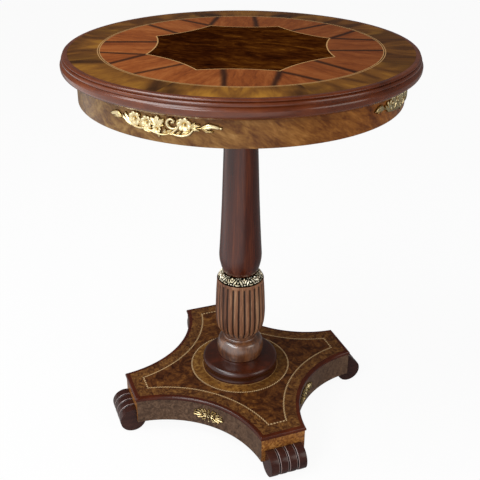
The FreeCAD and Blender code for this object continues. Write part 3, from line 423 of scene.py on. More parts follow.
def plinth_moulding(finish):
    """The rounded moulding round the plinth's upper edge."""
    mesh = hollow_wall(0.0, MOULDING_WIDTH, PLINTH_LEDGE, PLINTH_TOP)
    upper, lower = [], []
    for edge in mesh.edges:
        outer = [f for f in edge.link_faces if faces_out(f)]
        if len(outer) == 1:
            above = edge.verts[0].co.z > (PLINTH_LEDGE + 1) * MM
            (upper if above else lower).append(edge)
    bmesh.ops.bevel(mesh, geom=upper, offset=MOULDING_CREST * MM, affect="EDGES", **ROUNDED)
    lower = [edge for edge in lower if edge.is_valid]
    bmesh.ops.bevel(mesh, geom=lower, offset=MOULDING_LIP * MM, affect="EDGES", **ROUNDED)
    names = ["plinth_side_mouldings", "plinth_end_mouldings"]
    finish_piece("plinth_moulding", mesh, names, "moulding_wood", finish)


def foot_section():
    """Half of a foot's section along its roll: flat-backed ribs with a narrow cut between them."""
    rib = FOOT_HALF_WIDTH * 2 / FOOT_RIBS
    shoulder = FOOT_RADIUS - FOOT_RIB_CROWN
    floor = FOOT_RADIUS - FOOT_GROOVE_DEPTH
    section = [(-FOOT_HALF_WIDTH, shoulder, FOOT_CHEEK_ROUND)]
    for number in range(FOOT_RIBS):
        start = number * rib - FOOT_HALF_WIDTH
        section.append((start + rib / 2, FOOT_RADIUS, FOOT_RIB_ROUND))
        if number < FOOT_RIBS - 1:
            section.append((start + rib - FOOT_GROOVE_WIDTH / 2, shoulder, FOOT_EDGE_ROUND))
            section.append((start + rib, floor, 0))
            section.append((start + rib + FOOT_GROOVE_WIDTH / 2, shoulder, FOOT_EDGE_ROUND))
    section.append((FOOT_HALF_WIDTH, shoulder, FOOT_CHEEK_ROUND))
    return section


def scroll_feet(finish):
    """Four ribbed rolls, notched where they fit round the plinth's corners."""
    end_face = CORNER_REACH - CARCASS_INSET
    first = math.acos((end_face - FOOT_REACH) / FOOT_RADIUS)
    last = -math.pi - math.asin((PLINTH_FOOT - FOOT_AXIS) / FOOT_RADIUS)
    sideways = Matrix(((0, 0, 1), (1, 0, 0), (0, 1, 0))).to_4x4()
    foot = bmesh.new()
    start_chain(foot, foot_section())
    bmesh.ops.transform(foot, verts=foot.verts, matrix=sideways)
    bmesh.ops.rotate(foot, verts=foot.verts, matrix=Matrix.Rotation(-first, 3, "Y"), cent=(0, 0, 0))
    swing(foot, (0, 1, 0), first - last, FOOT_STEPS)
    # How deep each point sits in a groove, which the finish turns into painted shade and an edge highlight
    groove_depth = foot.verts.layers.float.new("hollow")
    shoulder = (FOOT_RADIUS - FOOT_RIB_CROWN) * MM
    for vertex in foot.verts:
        depth = shoulder - Vector((vertex.co.x, vertex.co.z)).length
        vertex[groove_depth] = max(0.0, min(1.0, depth / (FOOT_HOLLOW_DEPTH * MM)))
    bmesh.ops.translate(foot, verts=foot.verts, vec=Vector((FOOT_REACH, 0, FOOT_AXIS)) * MM)
    close_foot(foot, end_face)
    bmesh.ops.rotate(foot, verts=foot.verts, matrix=Matrix.Rotation(DIAGONAL, 3, "Z"), cent=(0, 0, 0))
    swing(foot, UPRIGHT, 3 * QUARTER, 3, use_duplicate=True)
    finish_piece("feet", foot, ["scroll_feet"], "foot_wood", finish, smooth=32)


def close_foot(foot, end_face):
    """Close a swept roll with the two faces of its notch and a flat cheek at each end."""
    open_edges = [e for e in foot.edges if e.is_boundary]
    runs = [e for e in open_edges if abs(e.verts[0].co.y - e.verts[1].co.y) > 1e-6]
    made = bmesh.ops.extrude_edge_only(foot, edges=runs)
    for vertex in made["geom"]:
        if isinstance(vertex, bmesh.types.BMVert):
            vertex.co.x, vertex.co.z = end_face * MM, PLINTH_FOOT * MM
    for vertex in foot.verts:
        vertex.co.z = max(vertex.co.z, 0.0)
    bmesh.ops.remove_doubles(foot, verts=foot.verts, dist=WELD)
    bmesh.ops.holes_fill(foot, edges=[e for e in foot.edges if e.is_boundary], sides=0)
    bmesh.ops.recalc_face_normals(foot, faces=foot.faces)


# Gilt castings, modelled flat: along the wall in X, out of the wall in Y and up in Z


def smooth_spine(points, steps=4):
    """More points between the given ones, on a curve through all of them."""
    knots = [Vector((s, 0.0, z)) for s, z in points]
    spine = []
    for number, (here, after) in enumerate(zip(knots, knots[1:])):
        before = knots[max(number - 1, 0)]
        beyond = knots[min(number + 2, len(knots) - 1)]
        leave = here + (after - before) / 6
        arrive = after - (beyond - here) / 6
        spine += interpolate_bezier(here, leave, arrive, after, steps + 1)[:-1]
    return spine + [knots[-1]]


def casting(mesh, layer, points, half_width, crown):
    """A strip of small faces laid along a spine, crowned, and closed down to the wall."""
    spine = smooth_spine(points)
    count = len(spine) - 1
    grid = bmesh.ops.create_grid(mesh, x_segments=count, y_segments=CASTING_STRIPS, size=1.0)
    sheet = grid["verts"]
    faces = list(dict.fromkeys(face for vertex in sheet for face in vertex.link_faces))
    for vertex in sheet:
        number = round((vertex.co.x + 1) / 2 * count)
        way = (spine[min(number + 1, count)] - spine[max(number - 1, 0)]).normalized()
        share, side = number / count, vertex.co.y
        reach = half_width(share) * side
        height = crown(share, side)
        place = spine[number] + Vector((-way.z, 0, way.x)) * reach
        vertex.co = Vector((place.x, height, place.z))
        vertex[layer] = height
    back = [v.co.copy() for v in sheet]
    bmesh.ops.extrude_face_region(mesh, geom=faces)
    for vertex, place in zip(sheet, back):
        vertex.co = Vector((place.x, CASTING_BACK, place.z))
        vertex[layer] = 0.0


def leaf(mesh, layer, points, width, relief):
    """A pointed leaf with lobed edges, a sunk midrib and a raised, turned-over tip."""

    def half_width(share):
        swell = math.sin(math.pi * (0.06 + 0.94 * share) ** 0.72) ** 0.8
        lobes = 1 + 0.16 * math.cos(LEAF_LOBES * math.pi * share)
        return width * 0.58 * max(0.04, swell) * lobes

    def crown(share, side):
        along = 0.55 + 0.45 * math.sin(math.pi * min(1.0, share * 0.8 + 0.12))
        across = 1 - 0.62 * abs(side) ** 2.4
        midrib = 0.42 * math.exp(-((side / 0.26) ** 2)) * (1 - 0.6 * share)
        veins = 0.10 * math.cos(LEAF_LOBES * math.pi * share) * abs(side)
        return relief * max(0.12, along * (across - midrib + veins))

    casting(mesh, layer, points, half_width, crown)


def stem(mesh, layer, points, width, relief):
    """A rounded, tapering scroll."""

    def half_width(share):
        return width * 0.62 * (0.66 + 0.34 * math.sin(math.pi * share))

    def crown(share, side):
        along = 0.72 + 0.28 * math.sin(math.pi * share)
        return relief * along * math.sqrt(max(0.02, 1 - side * side))

    casting(mesh, layer, points, half_width, crown)


def bead(mesh, layer, points, radius, relief):
    """A small dome, nearly flat at its back."""
    s, z = points[0]
    ball = bmesh.ops.create_icosphere(mesh, subdivisions=2, radius=1.0)["verts"]
    for vertex in ball:
        height = max(-0.05, vertex.co.y) * relief
        vertex[layer] = height
        vertex.co = Vector((s + vertex.co.x * radius, height, z + vertex.co.z * radius))


def flower(mesh, layer, points, radius, relief):
    """An open rose: cupped petals round a bead, turned a little differently from its neighbours."""
    s, z = points[0]

    def half_width(share):
        return radius * 0.44 * math.sin(math.pi * (0.16 + 0.74 * share)) ** 0.8

    def crown(share, side):
        cup = 0.35 + 0.65 * share**0.8 - 0.25 * max(0.0, share - 0.8) * 5
        crease = 0.16 * math.exp(-((side / 0.3) ** 2))
        return relief * max(0.14, cup * (1 - 0.5 * abs(side) ** 2.2) - crease)

    for number in range(FLOWER_PETALS):
        turn = 2 * math.pi * number / FLOWER_PETALS + 0.4 + 0.05 * s
        way = Vector((math.cos(turn), math.sin(turn)))
        root, middle, tip = (Vector((s, z)) + way * radius * reach for reach in (0.16, 0.6, 1.0))
        casting(mesh, layer, [tuple(root), tuple(middle), tuple(tip)], half_width, crown)
    bead(mesh, layer, points, radius * 0.26, relief)


KINDS = {"leaf": leaf, "stem": stem, "bead": bead, "flower": flower}


def cast_flat(ornament, mirrored=()):
    """A flat mesh of an ornament, with its mirrored parts on both sides."""
    mesh = bmesh.new()
    layer = mesh.verts.layers.float.new("relief")
    for kind, points, width, relief in ornament:
        KINDS[kind](mesh, layer, points, width, relief)
    for kind, points, width, relief in mirrored:
        KINDS[kind](mesh, layer, points, width, relief)
        KINDS[kind](mesh, layer, [(-s, z) for s, z in points], width, relief)
    return mesh


def bend(mesh, wrap):
    """Bend a flat ornament to its wall."""
    for vertex in mesh.verts:
        vertex.co = wrap(vertex.co) * MM
    weld(mesh, FINE_WELD)


def mounts(name, ornament, mirrored, wrap, finish):
    """Bend one casting to its wall, and set a copy on each of the four sides."""
    for number, quarter in enumerate(QUARTERS):
        mesh = cast_flat(ornament, mirrored)
        bend(mesh, wrap)
        turn = Matrix.Rotation(number * QUARTER, 3, "Z")
        bmesh.ops.rotate(mesh, verts=mesh.verts, matrix=turn, cent=(0, 0, 0))
        node = name + "_" + quarter
        finish_piece(node + "_casting", mesh, [node], "gilt", finish, smooth=55)


def on_apron(flat):
    turn, reach = flat.x / APRON_FACE, APRON_FACE + flat.y
    return Vector((reach * math.cos(turn), reach * math.sin(turn), APRON_LEVEL + flat.z))


def on_plinth_side(flat):
    wall = SIDE_RADIUS + CARCASS_INSET
    turn, reach = flat.x / wall, wall - flat.y
    out = SIDE_CENTRE - reach * math.cos(turn)
    return Vector((out, reach * math.sin(turn), PLINTH_MOUNT_LEVEL + flat.z))


def on_collar(flat):
    """From (round, out, up the slope) to the collar's cone, the first measured at its foot."""
    foot, head = Vector(COLLAR_FOOT), Vector(COLLAR_HEAD)
    slope = (head - foot).normalized()
    reach, height = foot + slope * flat.z + Vector((slope.y, -slope.x)) * flat.y
    turn = flat.x / COLLAR_FOOT[0]
    return Vector((reach * math.cos(turn), reach * math.sin(turn), height))


def collar(finish, painted_shade):
    """An openwork ring of leaves and beads laid on a near-black cone, painted shade that stands for the
    dark gaps behind the openwork.
    """
    mesh = cast_flat(COLLAR_UNIT, COLLAR_UNIT_SIDE)
    bend(mesh, on_collar)
    rest = COLLAR_REPEATS - 1
    swing(mesh, UPRIGHT, 2 * math.pi * rest / COLLAR_REPEATS, rest, use_duplicate=True)
    cone = bmesh.new()
    start_chain(cone, COLLAR_CONE)
    turn_chain(cone, COLLAR_STEPS)
    # The cone takes the near-black painted shade
    for face in cone.faces:
        face.material_index = 1
    part = bpy.data.meshes.new("collar_cone")
    cone.to_mesh(part)
    cone.free()
    mesh.from_mesh(part)
    bpy.data.meshes.remove(part)
    finish_piece("collar", mesh, ["column_collar"], "gilt", finish, painted_shade, smooth=55)


# Finishes

PALE_STRING, ROPE_LIGHT, ROPE_DARK = "b58c5c", "cdae80", "5e3c20"
SANDED = "1c0a05"
# The way the grain is drawn out: round a turning, or up it
AROUND, LENGTHWAYS, BUN_GRAIN = (0.3, 0.3, 1), (1, 1, 0.05), (1, 1, 0.1)
# Steps between one leaf of veneer and the next, which give each its own figure
CROSSBAND_STEP, FAN_STEP, RING_STEP = 0.71, 0.37, 2.3
# The first is how far either side of the axis the painted side shade takes to pass from its near tone to
# its far one
SIDE_SHADE_REACH, APRON_SLANT, PORE_DEPTH = 0.26, 0.8, 0.0003
# The pale painted highlight on carved edges: the groove depth it sits at, its half width and its strength
EDGE_HIGHLIGHT_DEPTH, EDGE_HIGHLIGHT_HALF, EDGE_HIGHLIGHT_SHARE = 0.3, 0.26, 0.6
GILT_WEAR, BUN_COAT_IOR = 1.4, 1.9
# The colour sockets of Blender's Mix node
COLOUR_A, COLOUR_B, COLOUR_OUT = 6, 7, 2


def tone(code):
    """A colour written as sRGB hex, in the linear values that shaders use."""
    values = [int(code[start : start + 2], 16) / 255 for start in (0, 2, 4)]
    linear = [v / 12.92 if v <= 0.04045 else ((v + 0.055) / 1.055) ** 2.4 for v in values]
    return (*linear, 1.0)


class Nodes:
    """A node tree under construction: each call adds a node and gives back its output."""

    def __init__(self, tree):
        self.nodes = tree.nodes
        self.links = tree.links

    def feed(self, socket, value):
        if isinstance(value, bpy.types.NodeSocket):
            self.links.new(value, socket)
        else:
            socket.default_value = value

    def sum(self, operation, *values):
        node = self.nodes.new("ShaderNodeMath")
        node.operation = operation
        for socket, value in zip(node.inputs, values):
            self.feed(socket, value)
        return node.outputs[0]

    def plus(self, a, b):
        return self.sum("ADD", a, b)

    def times(self, a, b):
        return self.sum("MULTIPLY", a, b)

    def less(self, a, b):
        return self.sum("SUBTRACT", a, b)

    def mix_noises(self, *pairs):
        """One share out of several noises, each given with its weight."""
        total = self.times(pairs[0][0], pairs[0][1])
        for noise, weight in pairs[1:]:
            total = self.sum("MULTIPLY_ADD", noise, weight, total)
        return total

    def split(self, vector):
        node = self.nodes.new("ShaderNodeSeparateXYZ")
        self.feed(node.inputs[0], vector)
        return node.outputs

    def join(self, x, y, z):
        node = self.nodes.new("ShaderNodeCombineXYZ")
        for socket, value in zip(node.inputs, (x, y, z)):
            self.feed(socket, value)
        return node.outputs[0]

    def length(self, x, y):
        return self.sum("SQRT", self.plus(self.times(x, x), self.times(y, y)))

    def attribute(self, name):
        node = self.nodes.new("ShaderNodeAttribute")
        node.attribute_name = name
        return node.outputs["Fac"]

    def stretch(self, vector, scale, turn=0.0):
        node = self.nodes.new("ShaderNodeMapping")
        self.feed(node.inputs["Vector"], vector)
        node.inputs["Scale"].default_value = scale
        node.inputs["Rotation"].default_value = (0, 0, turn)
        return node.outputs[0]

    def noise(self, vector, scale, detail=4.0, roughness=0.55, distortion=0.0):
        node = self.nodes.new("ShaderNodeTexNoise")
        self.feed(node.inputs["Vector"], vector)
        node.inputs["Scale"].default_value = scale
        node.inputs["Detail"].default_value = detail
        node.inputs["Roughness"].default_value = roughness
        node.inputs["Distortion"].default_value = distortion
        return node.outputs["Fac"]

    def fade(self, value, start, end, low=0.0, high=1.0):
        """Low up to start, high from end, and a smooth slope between them."""
        node = self.nodes.new("ShaderNodeMapRange")
        node.interpolation_type = "SMOOTHSTEP"
        self.feed(node.inputs["Value"], value)
        for socket, number in zip(("From Min", "From Max", "To Min", "To Max"), (start, end, low, high)):
            node.inputs[socket].default_value = number
        return node.outputs["Result"]

    def line(self, value, middle, half):
        """One on a band about the middle, nothing off it."""
        return self.sum("COMPARE", value, middle, half)

    def ramp(self, value, stops):
        node = self.nodes.new("ShaderNodeValToRGB")
        self.feed(node.inputs[0], value)
        marks = node.color_ramp.elements
        while len(marks) < len(stops):
            marks.new(0.5)
        for mark, (place, colour) in zip(marks, stops):
            mark.position = place
            mark.color = tone(colour)
        return node.outputs["Color"]

    def blend(self, share, a, b, mode="MIX"):
        node = self.nodes.new("ShaderNodeMix")
        node.data_type = "RGBA"
        node.blend_type = mode
        self.feed(node.inputs["Factor"], share)
        self.feed(node.inputs[COLOUR_A], tone(a) if isinstance(a, str) else a)
        self.feed(node.inputs[COLOUR_B], tone(b) if isinstance(b, str) else b)
        return node.outputs[COLOUR_OUT]

    def rays(self):
        """Whether a ray comes from the camera, and whether it comes off or through something."""
        path = self.nodes.new("ShaderNodeLightPath").outputs
        mirrored = self.sum("MAXIMUM", path["Is Glossy Ray"], path["Is Transmission Ray"])
        return path["Is Camera Ray"], mirrored


class Finish(Nodes):
    """A material with its gloss set, waiting for its colour and its fine relief."""

    def __init__(self, name, roughness=0.3, specular=0.35, coat=0.0):
        self.material = bpy.data.materials.new(name)
        self.material.use_nodes = True
        super().__init__(self.material.node_tree)
        self.shader = self.nodes["Principled BSDF"]
        self.shader.inputs["Roughness"].default_value = roughness
        self.shader.inputs["Specular IOR Level"].default_value = specular
        self.shader.inputs["Coat Weight"].default_value = coat
        self.shader.inputs["Coat Roughness"].default_value = roughness * 0.6
        self.place = self.nodes.new("ShaderNodeTexCoord").outputs["Object"]

    def polar(self):
        """Distance from the table's axis, and the angle round it."""
        x, y, _ = self.split(self.place)
        return self.length(x, y), self.sum("ARCTAN2", y, x)

    def bump(self, height, strength, distance=PORE_DEPTH):
        node = self.nodes.new("ShaderNodeBump")
        node.inputs["Strength"].default_value = strength
        node.inputs["Distance"].default_value = distance
        self.feed(node.inputs["Height"], height)
        self.links.new(node.outputs[0], self.shader.inputs["Normal"])

    def colour(self, value):
        self.feed(self.shader.inputs["Base Color"], value)


def polished(
    name, stops, roughness, specular, coat=0.0, along=LENGTHWAYS, scale=60.0, hollow=None, edge_highlight=None
):
    """Straight-grained polished wood; along squeezes the grain on the way that it runs. A carved
    piece has a painted shade for its hollows too, and maybe a pale painted highlight along its edges."""
    wood = Finish(name, roughness, specular, coat)
    place = wood.stretch(wood.place, along)
    grain = wood.noise(place, scale, 6.0, 0.62, 0.4)
    broad = wood.noise(place, scale / 6, 3.0, 0.5, 0.3)
    pores = wood.noise(place, scale * 5, 2.0, 0.5)
    colour = wood.ramp(wood.mix_noises((grain, 0.45), (broad, 0.4), (pores, 0.15)), stops)
    if hollow:
        # Painted shade: the deeper in a groove, the nearer the colour goes to the hollow tone
        depth = wood.attribute("hollow")
        colour = wood.blend(wood.fade(depth, 0.1, 0.8), colour, hollow)
        # Painted highlight: a pale line on the groove's walls near its edges
        if edge_highlight:
            edge = wood.times(wood.line(depth, EDGE_HIGHLIGHT_DEPTH, EDGE_HIGHLIGHT_HALF), EDGE_HIGHLIGHT_SHARE)
            colour = wood.blend(edge, colour, edge_highlight)
    wood.colour(colour)
    wood.bump(wood.mix_noises((grain, 0.5), (pores, 0.5)), 0.1)
    return wood.material


def burl_figure(wood, place, stops, scale):
    """Swirling mottle with clusters of fine dark eyes: its colour, and the flecks for its relief."""
    swirl = wood.noise(place, scale, 5.0, 0.62, 1.8)
    fleck = wood.noise(place, scale * 3.2, 4.0, 0.66, 1.0)
    eyes = wood.noise(place, scale * 9, 2.0, 0.6, 0.4)
    return wood.ramp(wood.mix_noises((swirl, 0.55), (fleck, 0.3), (eyes, 0.15)), stops), fleck


def burl(name, stops, scale, roughness=0.3, specular=0.3):
    wood = Finish(name, roughness, specular)
    colour, fleck = burl_figure(wood, wood.place, stops, scale)
    wood.colour(colour)
    wood.bump(fleck, 0.08)
    return wood.material


def painted_side_shade(wood, colour, degrees, near, far):
    """Painted light and shade across the table: the colour is multiplied by the near tone on the side the
    bearing points to, fading to the far tone on the other side.
    """
    bearing = math.radians(degrees)
    x, y, _ = wood.split(wood.place)
    across = wood.plus(wood.times(x, math.cos(bearing)), wood.times(y, math.sin(bearing)))
    side_shade = wood.blend(wood.fade(across, -SIDE_SHADE_REACH, SIDE_SHADE_REACH), far, near)
    return wood.blend(1.0, colour, side_shade, "MULTIPLY")


def crossband_finish():
    """Eight book-matched lengths with their grain running outwards, and two pale strings."""
    wood = Finish("crossband", 0.3, 0.05)
    radius, angle = wood.polar()
    from_joint = wood.sum("PINGPONG", angle, DIAGONAL / 2)
    number = wood.sum("FLOOR", wood.sum("DIVIDE", angle, DIAGONAL))
    place = wood.join(from_joint, wood.times(radius, 1.6), wood.times(number, CROSSBAND_STEP))
    stripes = wood.noise(place, 4.2, 3.0, 0.5, 1.2)
    fine = wood.noise(wood.stretch(place, (1, 0.35, 1)), 60.0, 4.0, 0.6, 0.8)
    share = wood.mix_noises((stripes, 0.84), (fine, 0.16))
    stops = [(0.32, "341e0d"), (0.43, "5a3817"), (0.54, "7c5322"), (0.68, "a6782e")]
    colour = wood.ramp(share, stops)
    joint = wood.fade(from_joint, 0.0, 0.2, 0.62, 1.0)
    colour = wood.blend(1.0, colour, wood.ramp(joint, [(0.0, "000000"), (1.0, "ffffff")]), "MULTIPLY")
    # Painted sheen and shade: the ring lighter towards the front left, a little darker and greyer away
    # from it
    colour = painted_side_shade(wood, colour, -118, "fff4dc", "e8dcd4")
    inner = wood.line(radius, INNER_STRING * MM, STRING_HALF * MM)
    outer = wood.line(radius, OUTER_STRING * MM, STRING_HALF * MM)
    wood.colour(wood.blend(wood.plus(inner, outer), colour, PALE_STRING))
    wood.bump(fine, 0.06)
    return wood.material


def leaf_joints(wood, radius, angle):
    """Distance to the nearest joint between two of the fan's leaves."""
    from_axis = wood.sum("PINGPONG", angle, DIAGONAL)
    distances = []
    for turn, apex, spread in (
        (from_axis, AXIS_LEAF_APEX, AXIS_LEAF_SPREAD),
        (wood.less(DIAGONAL, from_axis), CORNER_LEAF_APEX, CORNER_LEAF_SPREAD),
    ):
        ahead = wood.less(wood.times(radius, wood.sum("COSINE", turn)), apex * MM)
        aside = wood.times(radius, wood.sum("SINE", turn))
        gap = wood.less(wood.times(aside, math.cos(spread)), wood.times(ahead, math.sin(spread)))
        distances.append(wood.sum("ABSOLUTE", gap))
    return wood.sum("MINIMUM", *distances)


def fan_finish(name, spacing, offset):
    """Leaves of red mahogany, grain along each leaf, scorched dark towards their joints."""
    wood = Finish(name, 0.3, 0.05)
    radius, angle = wood.polar()
    shifted = wood.less(angle, offset)
    turn = wood.sum("WRAP", shifted, spacing / 2, -spacing / 2)
    number = wood.sum("ROUND", wood.sum("DIVIDE", shifted, spacing))
    along = wood.times(radius, wood.sum("COSINE", turn))
    aside = wood.times(radius, wood.sum("SINE", turn))
    place = wood.join(wood.times(along, 0.22), aside, wood.times(number, FAN_STEP))
    grain = wood.noise(place, 110.0, 5.0, 0.62, 0.8)
    broad = wood.noise(place, 22.0, 2.0, 0.5, 0.6)
    pores = wood.noise(place, 480.0, 2.0, 0.5)
    share = wood.mix_noises((grain, 0.4), (broad, 0.42), (pores, 0.18))
    colour = wood.ramp(share, [(0.3, "602a0e"), (0.48, "904e20"), (0.6, "a66432"), (0.72, "b87a48")])
    gap = wood.plus(leaf_joints(wood, radius, angle), wood.times(wood.less(broad, 0.5), 0.004))
    colour = wood.blend(wood.fade(gap, 0.0009, 0.0085, 0.86, 0.0), colour, SANDED)
    # Painted shade: the leaves darker and greyer on the side away from the front left
    colour = painted_side_shade(wood, colour, -150, "fff6ea", "dcd2cc")
    wood.colour(colour)
    wood.bump(grain, 0.06)
    return wood.material


def star_finish():
    """The dark burl star, with a pale string just inside its hollow sides."""
    wood = Finish("star_burl", 0.3, 0.0)
    radius, angle = wood.polar()
    from_middle = wood.less(DIAGONAL / 2, wood.sum("PINGPONG", angle, DIAGONAL / 2))
    centre = (STAR_MIDDLE + STAR_SWEEP) * MM
    ahead = wood.less(centre, wood.times(radius, wood.sum("COSINE", from_middle)))
    aside = wood.times(radius, wood.sum("SINE", from_middle))
    inside = wood.less(wood.length(ahead, aside), STAR_SWEEP * MM)
    place = wood.stretch(wood.place, (0.7, 1.5, 1), math.radians(-28))
    stops = [(0.34, "1c0a03"), (0.46, "341605"), (0.55, "4c280a"), (0.65, "6e4414"), (0.76, "926828")]
    colour, fleck = burl_figure(wood, place, stops, 17.0)
    # Painted light and shade: the star paler to the right and darker to the left
    colour = painted_side_shade(wood, colour, 10, "fff8ee", "c8b8b0")
    wood.colour(wood.blend(wood.sum("LESS_THAN", inside, STAR_STRING * MM), colour, PALE_STRING))
    wood.bump(fleck, 0.06)
    return wood.material


def rope(wood, mask, along, colour):
    """Lay a twisted two-wood line over the colour where the mask is."""
    turns = wood.times(along, 2 * math.pi / (ROPE_TWIST * MM))
    twist = wood.fade(wood.sum("SINE", turns), -0.75, 0.35)
    return wood.blend(mask, colour, wood.blend(twist, ROPE_DARK, ROPE_LIGHT))


def field_finish():
    """Dark burl with a rope line round its edge, and a burr band with its own rope round the column."""
    wood = Finish("plinth_field", 0.3, 0.14)
    stops = [(0.33, "1e0d06"), (0.45, "40200f"), (0.55, "623a1a"), (0.67, "8e602c")]
    dark, fleck = burl_figure(wood, wood.place, stops, 31.0)
    stops = [(0.35, "4a2610"), (0.46, "8a5a28"), (0.57, "b88640"), (0.69, "dcb066")]
    burr, _ = burl_figure(wood, wood.place, stops, 60.0)
    # Painted light and shade on the burr band: bright towards the front left, much darker away from it
    burr = painted_side_shade(wood, burr, -120, "ffffff", "5c443a")
    radius, angle = wood.polar()
    length = wood.plus(wood.times(angle, RING_LENGTHS / (2 * math.pi)), RING_START)
    step = wood.times(wood.sum("FLOOR", length), RING_STEP)
    shade = wood.fade(wood.sum("SINE", step), -1.0, 1.0, 0.25, 1.0)
    burr = wood.blend(shade, wood.blend(0.6, burr, "4a2a14"), burr)
    string = wood.line(radius, RING_STRING * MM, RING_STRING_HALF * MM)
    burr = wood.blend(string, burr, PALE_STRING)
    colour = wood.blend(wood.sum("LESS_THAN", radius, ROPE_RING * MM), dark, burr)
    ring = wood.line(radius, ROPE_RING * MM, ROPE_HALF * MM)
    turn = wood.plus(wood.times(angle, ROPE_RING * MM), radius)
    colour = rope(wood, ring, turn, colour)
    x, y, _ = wood.split(wood.place)
    x, y = wood.sum("ABSOLUTE", x), wood.sum("ABSOLUTE", y)
    far, near = wood.sum("MAXIMUM", x, y), wood.sum("MINIMUM", x, y)
    side = wood.less(wood.length(wood.less(far, SIDE_CENTRE * MM), near), SIDE_RADIUS * MM)
    end = wood.less(CORNER_REACH * MM, wood.times(wood.plus(far, near), math.sin(DIAGONAL)))
    inset = wood.sum("MINIMUM", side, end)
    edge = wood.line(inset, ROPE_INSET * MM, ROPE_HALF * MM)
    colour = rope(wood, edge, wood.plus(near, inset), colour)
    wood.colour(colour)
    wood.bump(fleck, 0.06)
    return wood.material


def apron_finish():
    """Tan burl with slanting cloudy figure, and painted shade across the table: duller on the left and
    golden to the right.
    """
    wood = Finish("apron_burl", 0.3, 0.25)
    x, y, z = wood.split(wood.place)
    lift = wood.times(z, APRON_SLANT)
    slant = wood.join(wood.plus(x, lift), wood.plus(y, lift), lift)
    stops = [(0.32, "3e2310"), (0.43, "6c4622"), (0.53, "8e6836"), (0.63, "ab8650"), (0.74, "c4a470")]
    colour, fleck = burl_figure(wood, slant, stops, 21.0)
    # Painted shade across the table: a grey cast on the left side and a golden one on the right
    wood.colour(painted_side_shade(wood, colour, -150, "f0f0f4", "f4c488"))
    wood.bump(fleck, 0.08)
    return wood.material


def gilding(name, painted_shade, body, light, full_height):
    """Pale gilding with wear noise, coloured by the height of its relief: painted shade dark in the
    hollows and a painted highlight pale on what stands out.
    """
    gold = Finish(name, 0.34)
    gold.shader.inputs["Metallic"].default_value = 1.0
    wear = gold.noise(gold.place, 500.0, 4.0, 0.6)
    height = gold.plus(gold.attribute("relief"), gold.times(gold.less(wear, 0.5), GILT_WEAR))
    share = gold.times(height, 1 / full_height)
    # Painted shade on the low relief, body colour between, painted highlight on the high relief
    gold.colour(gold.ramp(share, [(0.18, painted_shade), (0.48, body), (0.86, light)]))
    gold.bump(wear, 0.3)
    return gold.material


def bare_wood(name):
    """Unpolished softwood of the hidden parts, with pale growth bands."""
    wood = Finish(name, 0.75, 0.2)
    place = wood.stretch(wood.place, (0.1, 1, 1))
    bands = wood.noise(place, 55.0, 4.0, 0.6, 1.2)
    fibres = wood.noise(place, 400.0, 2.0, 0.5)
    share = wood.mix_noises((bands, 0.7), (fibres, 0.3))
    wood.colour(wood.ramp(share, [(0.32, "7b5a38"), (0.5, "9c7a50"), (0.7, "b8976a")]))
    wood.bump(fibres, 0.25)
    return wood.material


def bare_steel(name):
    steel = Finish(name, 0.42)
    steel.shader.inputs["Metallic"].default_value = 1.0
    scratch = steel.noise(steel.stretch(steel.place, (1, 1, 0.1)), 900.0, 4.0, 0.7)
    steel.colour(steel.ramp(scratch, [(0.3, "6e6c68"), (0.7, "a7a5a0")]))
    steel.bump(scratch, 0.15, 0.0002)
    return steel.material


# Studio


def aim_camera():
    camera = put("camera", bpy.data.cameras.new("camera"))
    camera.data.lens = CAMERA_LENS
    camera.data.sensor_width = CAMERA_SENSOR
    camera.data.clip_end = 50
    facing = Matrix.Identity(4)
    for axis, degrees in (("Z", CAMERA_TURN), ("X", CAMERA_TILT), ("Z", CAMERA_ROLL)):
        facing = facing @ Matrix.Rotation(math.radians(degrees), 4, axis)
    camera.matrix_world = Matrix.Translation(CAMERA_PLACE) @ facing
    bpy.context.scene.camera = camera


def white_world():
    """White where the camera looks past the table, plainer where it lights it, and in reflections
    white towards the bright side and darker away from it."""
    world = bpy.data.worlds.new("studio")
    world.use_nodes = True
    bpy.context.scene.world = world
    sky = Nodes(world.node_tree)
    seen, mirrored = sky.rays()
    facing = sky.nodes.new("ShaderNodeVectorMath")
    facing.operation = "DOT_PRODUCT"
    sky.feed(facing.inputs[0], sky.nodes.new("ShaderNodeTexCoord").outputs["Generated"])
    facing.inputs[1].default_value = Vector(BRIGHT_SIDE).normalized()
    brightness = sky.fade(facing.outputs["Value"], *BRIGHT_EDGES, WORLD_DARK, 1.0)
    shown = sky.sum("MULTIPLY_ADD", mirrored, sky.less(brightness, WORLD_LIGHT), WORLD_LIGHT)
    background = sky.nodes["Background"]
    background.inputs["Color"].default_value = (1, 1, 1, 1)
    sky.feed(background.inputs["Strength"], sky.sum("MAXIMUM", shown, seen))


def softbox(name, place, width, power, colour):
    light = bpy.data.lights.new(name, "AREA")
    light.energy = power
    light.size = width
    light.color = colour
    lamp = put(name, light)
    lamp.location = place
    aim = Vector(LIGHTS_AIM) - Vector(place)
    lamp.rotation_euler = aim.to_track_quat("-Z", "Y").to_euler()


